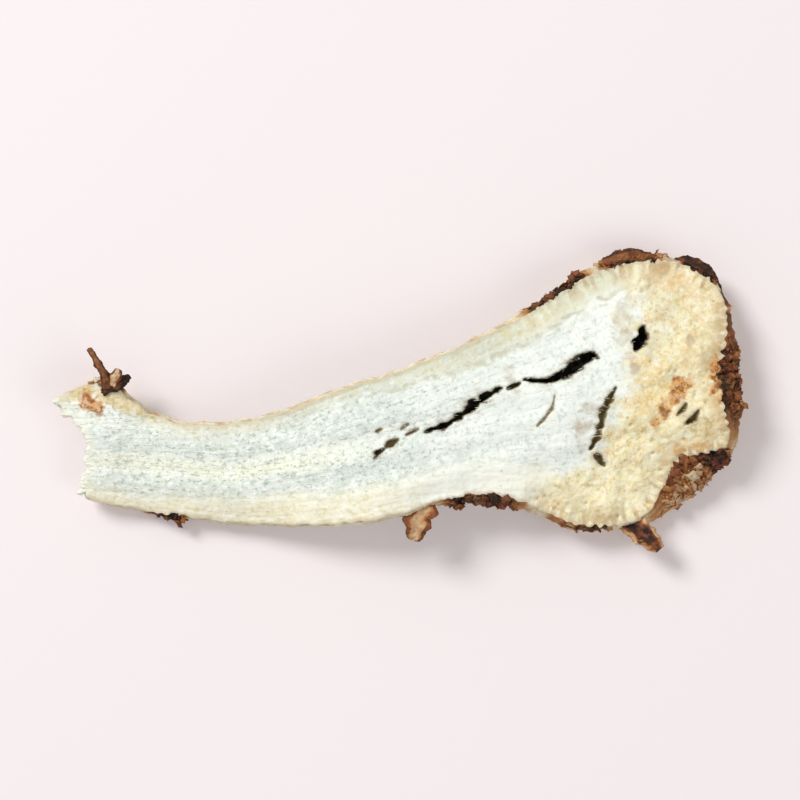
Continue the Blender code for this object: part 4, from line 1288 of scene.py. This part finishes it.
def reliefTree(values):
    tree, given, result = newTree("fineRelief", values)
    place = scaled(tree, positionOf(tree), 1 / mm)
    grain = named(tree, "grain", "FLOAT_VECTOR")
    flow = named(tree, "rimFlow", "FLOAT_VECTOR")
    edge = parts(tree, flow)[1]
    crown, barkShare, rough = named(tree, "crown"), named(tree, "bark"), named(tree, "rough")
    seed = given["Seed"]

    def seeded(number):
        return calc(tree, "ADD", seed, float(number))

    def sized(name):
        return calc(tree, "DIVIDE", 1.0, given[name])

    lengthwise = stretched(tree, grain, given["Fibre length"], given["Fibre pitch"], 1.0)
    fibres = wave(tree, lengthwise, 1.0, seeded(0))
    alongGrooves = stretched(tree, grain, given["Groove length"], given["Groove pitch"], 1.0)
    grooves = cloud(tree, alongGrooves, 1.0, seeded(10))
    grooveLine = ease(tree, missOf(tree, grooves, 0.5), 0.045, 0.0)
    groove = product(tree, grooveLine, given["Groove depth"], -1.0)
    woodGrain = product(tree, wave(tree, place, sized("Wood grain size"), seeded(70)), given["Wood grain"])
    wood = product(tree, total(tree, product(tree, fibres, given["Fibre height"]), groove, woodGrain),
                   inverse(tree, crown))

    lumps = product(tree, wave(tree, place, sized("Crown lump size"), seeded(20), 3.0), given["Crown lump"])
    grains = product(tree, wave(tree, place, sized("Crown grain size"), seeded(30)), given["Crown grain"])
    pitCells = cells(tree, place, sized("Pit spacing"))
    pitChance = addNode(tree, "FunctionNodeSeparateColor", {0: pitCells.outputs["Color"]}).outputs[0]
    pits = product(tree, ease(tree, pitCells.outputs["Distance"], 0.3, 0.08), ease(tree, pitChance, 0.5, 0.6),
                   given["Pit depth"], -1.0)
    head = product(tree, total(tree, lumps, grains, pits), crown)

    rays = wave(tree, stretched(tree, flow, given["Ray pitch"], given["Ray length"], 1.0), 1.0, seeded(40))
    along = parts(tree, grain)[0]
    cortex = product(tree, rays, given["Ray height"], ease(tree, edge, 4.2, 1.4),
                     ease(tree, along, -6.0, 20.0, 0.3, 1.0))
    face = product(tree, total(tree, wood, head, cortex), inverse(tree, barkShare),
                   inverse(tree, named(tree, "crack")))

    roundRim = stretched(tree, flow, given["Skin wrinkle length"], given["Skin wrinkle size"], 1.0)
    creases = cloud(tree, roundRim, 1.0, seeded(50), 3.0)
    crease = ease(tree, missOf(tree, creases, 0.5), 0.0, 0.12)
    skin = product(tree, calc(tree, "SUBTRACT", crease, 0.6), given["Skin wrinkle"])
    boulders = cloud(tree, place, sized("Rough lump size"), seeded(60), 3.0)
    boulder = ease(tree, missOf(tree, boulders, 0.5), 0.0, 0.16)
    crust = product(tree, calc(tree, "SUBTRACT", boulder, 0.5), given["Rough lump"], rough)
    shell = product(tree, total(tree, skin, crust), barkShare)

    height = product(tree, total(tree, face, shell), named(tree, "calm"))
    whole = realized(tree, raised(tree, given["Geometry"], height))
    whole = withMaterial(tree, whole, given["Flesh"])
    whole = withMaterial(tree, whole, given["Bark"], named(tree, "barkFace", "BOOLEAN"))
    tree.links.new(whole, result["Geometry"])
    return tree


runTree(rootSlice, reliefTree(fineRelief), fineRelief)
rootSlice.data.shade_smooth()
print("relief given to the slice")


# Strands of torn skin and a rootlet: x, y, rise above the slice's middle and radius along each, then how
# flat it is, how deep its trough is, its tone at the flanks and its tone along the top
strandLines = (
    (((-31.4, 0.7, 0.3, 0.2), (-30.6, 1.2, 0.7, 0.5), (-29.8, 1.7, 0.9, 0.66), (-29.1, 2.1, 0.9, 0.66),
      (-28.5, 2.4, 0.7, 0.5), (-27.9, 2.8, 0.6, 0.22)), 0.6, 0.2, 0.04, 0.14),
    (((-30.2, 1.5, 0.8, 0.55), (-30.4, 2.5, 1.2, 0.5), (-30.7, 3.3, 1.5, 0.42), (-31.1, 4.0, 1.6, 0.38),
      (-31.5, 4.8, 1.7, 0.34), (-32.0, 5.6, 1.7, 0.26)), 1.0, 0.0, 0.2, 0.42),
    (((-29.8, 1.7, 1.0, 0.5), (-29.5, 2.4, 1.2, 0.6), (-29.2, 3.0, 1.3, 0.55), (-29.0, 3.5, 1.4, 0.28)),
     0.75, 0.3, 0.16, 0.74),
    (((2.9, -9.8, -0.1, 1.0), (2.5, -10.9, 0.3, 1.3), (2.0, -12.1, 0.5, 1.35), (1.7, -13.2, 0.3, 1.15),
      (1.4, -14.3, -0.2, 0.6)), 0.42, 0.9, 0.32, 0.68),
    (((23.4, -11.9, 0.0, 1.0), (24.5, -12.8, 0.3, 1.35), (25.5, -13.7, 0.4, 1.25), (26.4, -14.6, 0.4, 0.95),
      (27.1, -15.4, 0.2, 0.5)), 0.42, 1.0, 0.68, 0.1),
    (((28.6, 14.9, 0.5, 0.2), (29.9, 14.8, 0.7, 0.45), (31.3, 14.2, 0.8, 0.65), (32.3, 13.2, 0.7, 0.65),
      (33.0, 12.1, 0.5, 0.45), (33.4, 11.2, 0.4, 0.2)), 0.6, 0.5, 0.02, 0.12),
    (((21.2, 14.7, 0.4, 0.3), (22.6, 15.0, 0.5, 0.65), (24.2, 15.3, 0.5, 0.75), (25.6, 15.2, 0.5, 0.6),
      (26.8, 15.1, 0.4, 0.25)), 0.7, 0.4, 0.14, 0.36),
)
strandForm = {
    "step": 0.07,
    "sides": 36,
    "ridges": 0.35,
    "ridgeLength": 1.1,
    "swell": 0.35,
    "swellLength": 0.8,
    "endSteepness": 4.0,
    "leastEnd": 0.03,  # share of the radius that is left at the tips
    "ridgesRound": 2.2,
    "toneWander": 0.35,
}
strandRelief = {
    "Height": 0.2,
    "Size": 0.3,
    "Seed": 8,
    "Material": bark,
}


def strandObject():
    f = strandForm
    points, faces, tones = [], [], []
    for number, (line, flatness, trough, flankTone, topTone) in enumerate(strandLines):
        path = walk(line, f["step"], False)
        first = len(points)
        for k, (x, y, rise, radius) in enumerate(path):
            ahead, behind = path[min(k + 1, len(path) - 1)], path[max(k - 1, 0)]
            way = Vector((ahead[0] - behind[0], ahead[1] - behind[1], ahead[2] - behind[2])).normalized()
            across = way.cross(Vector((0.0, 0.0, 1.0))).normalized()
            over = across.cross(way)
            reach = k * f["step"]
            left = (len(path) - 1 - k) * f["step"]
            ends = min(1.0, f["endSteepness"] * reach / radius, f["endSteepness"] * left / radius)
            wide = radius * max(math.sqrt(1 - (1 - ends) ** 2), f["leastEnd"])
            wide *= 1 + f["swell"] * noiseAt(reach, number, f["swellLength"], 40)
            middle = Vector((x, y, body.middle(x, y, 0.0) + rise))
            for side in range(f["sides"]):
                turn = 2 * math.pi * side / f["sides"]
                aside, above = math.cos(turn), math.sin(turn)
                turnPlace = f["ridgesRound"] * aside, f["ridgesRound"] * above
                place = Vector((*turnPlace, reach / f["ridgeLength"] + 7 * number))
                size = wide * (1 + f["ridges"] * noise.noise(place))
                lift = flatness * size * above * (1 - trough * (1 - abs(aside)) * (above > 0))
                points.append(middle + across * (size * aside) + over * lift)
                edge = abs(aside) + f["toneWander"] * noise.noise(2.0 * place)
                inner = smooth(0.8, 0.45, edge) if above > 0 else 0.0
                tones.append(flankTone + (topTone - flankTone) * inner)
        for k in range(len(path) - 1):
            for side in range(f["sides"]):
                ahead = (side + 1) % f["sides"]
                here = first + k * f["sides"]
                faces.append((here + side, here + ahead, here + f["sides"] + ahead, here + f["sides"] + side))
        last = first + (len(path) - 1) * f["sides"]
        faces.append(tuple(first + side for side in reversed(range(f["sides"]))))
        faces.append(tuple(last + side for side in range(f["sides"])))
    made = newObject("skinStrands", points, faces)
    storeValues(made.data, "tone", "FLOAT", tones)
    return made


def strandTree(values):
    tree, given, result = newTree("strandRelief", values)
    place = scaled(tree, positionOf(tree), 1 / mm)
    pitch = calc(tree, "DIVIDE", 1.0, given["Size"])
    height = product(tree, wave(tree, place, pitch, given["Seed"], 3.0), given["Height"])
    whole = realized(tree, raised(tree, given["Geometry"], height))
    tree.links.new(withMaterial(tree, whole, given["Material"]), result["Geometry"])
    return tree


skinStrands = runTree(strandObject(), strandTree(strandRelief), strandRelief)
skinStrands.data.shade_smooth()
print("strands made:", len(skinStrands.data.polygons), "faces")


# Crumbs, flakes and fibres, scattered over the slice by Geometry Nodes. Sizes are in millimetres.

barkCrumbs = {
    "Spacing": 0.24,
    "Least size": 0.05,
    "Most size": 0.2,
    "Unevenness": 0.5,
    "Patch size": 1.6,
    "Least roughness": 0.1,
    "Tone spread": 0.07,
    "Seed": 11,
    "Material": bark,
}

barkFlakes = {
    "Spacing": 0.62,
    "Least size": 0.35,
    "Most size": 1.15,
    "Curl": 0.35,
    "Tilt": 0.22,
    "Least roughness": 0.12,
    "Tone spread": 0.07,
    "Seed": 5,
    "Material": bark,
}

woodFibres = {
    "Where": "woodShare",
    "Spacing": 2.2,
    "Least length": 0.6,
    "Most length": 2.4,
    "Least thickness": 0.02,
    "Most thickness": 0.045,
    "Spread": 0.1,
    "Rise": 0.0,
    "Seed": 21,
    "Material": fibre,
}

lipFibres = {
    "Where": "lipShare",
    "Spacing": 0.6,
    "Least length": 0.3,
    "Most length": 1.0,
    "Least thickness": 0.02,
    "Most thickness": 0.05,
    "Spread": 0.35,
    "Rise": 0.02,
    "Seed": 22,
    "Material": fibre,
}

tornFibres = {
    "Where": "tornShare",
    "Spacing": 0.3,
    "Least length": 0.25,
    "Most length": 1.0,
    "Least thickness": 0.03,
    "Most thickness": 0.08,
    "Spread": 0.35,
    "Rise": 0.0,
    "Seed": 23,
    "Material": fibre,
}


mostPoints = 3.0e7  # to a square metre, which the spacing then thins out


def scattered(tree, given, selection, share):
    values = {
        "Mesh": given["Geometry"], "Selection": selection, "Distance Min": inMetres(tree, given["Spacing"]),
        "Density Max": mostPoints, "Density Factor": share, "Seed": given["Seed"],
    }
    return addNode(tree, "GeometryNodeDistributePointsOnFaces", values, distribute_method="POISSON").outputs


# Copies of a shape on the points, each with its own tone, as one shaded mesh
def placedCopies(tree, given, points, shape, rotation, scale, tone):
    values = {"Points": points, "Instance": shape, "Rotation": rotation, "Scale": scale}
    copies = addNode(tree, "GeometryNodeInstanceOnPoints", values).outputs[0]
    whole = realized(tree, stored(tree, copies, "tone", tone, "INSTANCE"))
    whole = addNode(tree, "GeometryNodeSetShadeSmooth", {0: whole}).outputs[0]
    return withMaterial(tree, whole, given["Material"])


def turned(tree, rotation, angles):
    values = {"Rotation": rotation, "Rotate By": angles}
    return addNode(tree, "FunctionNodeRotateRotation", values, rotation_space="LOCAL").outputs[0]


# An uneven shift of each point, about -0.5 to 0.5 each way
def dents(tree, position, scale):
    values = {"Vector": position, "Scale": scale, "Detail": 1.0}
    colour = addNode(tree, "ShaderNodeTexNoise", values).outputs[1]
    return combined(tree, "SUBTRACT", colour, (0.5, 0.5, 0.5))


def crumbTree(values):
    tree, given, result = newTree("barkCrumbs", values)
    position = positionOf(tree)
    place = scaled(tree, position, 1 / mm)
    patch = cloud(tree, place, calc(tree, "DIVIDE", 1.0, given["Patch size"]), 51.0)
    rough = ease(tree, named(tree, "rough"), given["Least roughness"], 0.9)
    share = product(tree, rough, ease(tree, patch, 0.4, 0.62))
    spots = scattered(tree, given, named(tree, "barkFace", "BOOLEAN"), share)
    lump = addNode(tree, "GeometryNodeMeshUVSphere", {"Segments": 7, "Rings": 5, "Radius": 1.0}).outputs[0]
    lump = moved(tree, lump, scaled(tree, dents(tree, position, 0.9), 2.4))
    size = inMetres(tree, randomValue(tree, given["Least size"], given["Most size"], 1))
    chance = [randomValue(tree, -1.0, 1.0, 2 + k) for k in range(3)]
    uneven = [calc(tree, "MULTIPLY_ADD", value, given["Unevenness"], 1.0) for value in chance]
    scale = vectorOf(tree, *[product(tree, size, value) for value in uneven])
    spin = vectorOf(tree, *[randomValue(tree, 0.0, 2 * math.pi, 5 + k) for k in range(3)])
    stray = product(tree, randomValue(tree, -1.0, 1.0, 8), given["Tone spread"])
    tone = total(tree, named(tree, "tone"), stray)
    whole = placedCopies(tree, given, spots["Points"], lump, spin, scale, tone)
    tree.links.new(whole, result["Geometry"])
    return tree


def flakeTree(values):
    tree, given, result = newTree("barkFlakes", values)
    rough = named(tree, "rough")
    spots = scattered(tree, given, named(tree, "barkFace", "BOOLEAN"),
                      ease(tree, rough, given["Least roughness"], 0.7))
    plate = addNode(tree, "GeometryNodeMeshCube",
                    {"Size": (1.0, 0.62, 0.09), "Vertices X": 4, "Vertices Y": 3, "Vertices Z": 2}).outputs[0]
    position = positionOf(tree)
    x, y, _ = parts(tree, position)
    shift = combined(tree, "MULTIPLY", dents(tree, position, 2.2), (0.8, 0.8, 0.3))
    curl = product(tree, total(tree, product(tree, x, x), product(tree, y, y, 1.6)), given["Curl"])
    plate = moved(tree, plate, combined(tree, "ADD", shift, vectorOf(tree, 0.0, 0.0, curl)))
    size = inMetres(tree, randomValue(tree, given["Least size"], given["Most size"], 1))
    scale = vectorOf(tree, size, product(tree, size, randomValue(tree, 0.7, 1.3, 2)), size)
    lean = [product(tree, randomValue(tree, -1.0, 1.0, 3 + k), given["Tilt"]) for k in range(2)]
    rotation = turned(tree, spots["Rotation"], vectorOf(tree, *lean, randomValue(tree, 0.0, 2 * math.pi, 6)))
    stray = product(tree, randomValue(tree, -1.0, 1.0, 8), given["Tone spread"])
    tone = total(tree, named(tree, "tone"), stray)
    whole = placedCopies(tree, given, spots["Points"], plate, rotation, scale, tone)
    tree.links.new(whole, result["Geometry"])
    return tree


# Spindle-shaped fibres that follow the grain
def fibreTree(name, values):
    tree, given, result = newTree(name, values)
    barkFace = {0: named(tree, "barkFace", "BOOLEAN")}
    notBark = addNode(tree, "FunctionNodeBooleanMath", barkFace, operation="NOT").outputs[0]
    spots = scattered(tree, given, notBark, ease(tree, named(tree, given["Where"]), 0.3, 0.9))
    sizes = {"Vertices": 4, "Side Segments": 6, "Radius": 1.0, "Depth": 1.0}
    rod = addNode(tree, "GeometryNodeMeshCylinder", sizes, fill_type="TRIANGLE_FAN").outputs[0]
    position = positionOf(tree)
    x, y, z = parts(tree, position)
    narrow = calc(tree, "MULTIPLY_ADD", calc(tree, "COSINE", product(tree, z, math.pi)), 0.9, 0.1)
    curve = product(tree, z, z, 3.0)
    shaped = vectorOf(tree, total(tree, product(tree, x, narrow), curve), product(tree, y, narrow), z)
    rod = addNode(tree, "GeometryNodeSetPosition", {"Geometry": rod, "Position": shaped}).outputs[0]
    length = inMetres(tree, randomValue(tree, given["Least length"], given["Most length"], 1))
    thick = inMetres(tree, randomValue(tree, given["Least thickness"], given["Most thickness"], 2))
    jitter = [product(tree, randomValue(tree, -1.0, 1.0, 3 + k), given["Spread"]) for k in range(3)]
    way = combined(tree, "ADD", named(tree, "grainWay", "FLOAT_VECTOR"), vectorOf(tree, *jitter))
    rotation = addNode(tree, "FunctionNodeAlignRotationToVector", {"Vector": way}, axis="Z").outputs[0]
    rotation = turned(tree, rotation, vectorOf(tree, 0.0, 0.0, randomValue(tree, 0.0, 2 * math.pi, 7)))
    points = moved(tree, spots["Points"], scaled(tree, spots["Normal"], inMetres(tree, given["Rise"])))
    whole = placedCopies(tree, given, points, rod, rotation, vectorOf(tree, thick, thick, length),
                         randomValue(tree, 0.0, 1.0, 9))
    tree.links.new(whole, result["Geometry"])
    return tree


def scatterPiece(name, tree, values):
    made = bpy.data.objects.new(name, rootSlice.data)
    bpy.context.scene.collection.objects.link(made)
    runTree(made, tree, values)
    print(name, len(made.data.polygons), "faces")
    return made


scatter = [
    scatterPiece("barkCrumbs", crumbTree(barkCrumbs), barkCrumbs),
    scatterPiece("barkFlakes", flakeTree(barkFlakes), barkFlakes),
    scatterPiece("woodFibres", fibreTree("woodFibres", woodFibres), woodFibres),
    scatterPiece("lipFibres", fibreTree("lipFibres", lipFibres), lipFibres),
    scatterPiece("tornFibres", fibreTree("tornFibres", tornFibres), tornFibres),
]


# Hand-over to the frame

def keepInside(piece):
    low, high = [Vector(corner) for corner in cadBox]
    for vertex in piece.data.vertices:
        vertex.co = [min(max(vertex.co[k], low[k]), high[k]) for k in range(3)]


for piece in [rootSlice, skinStrands] + scatter:
    keepInside(piece)
    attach(piece, "root")
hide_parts("root_slice")
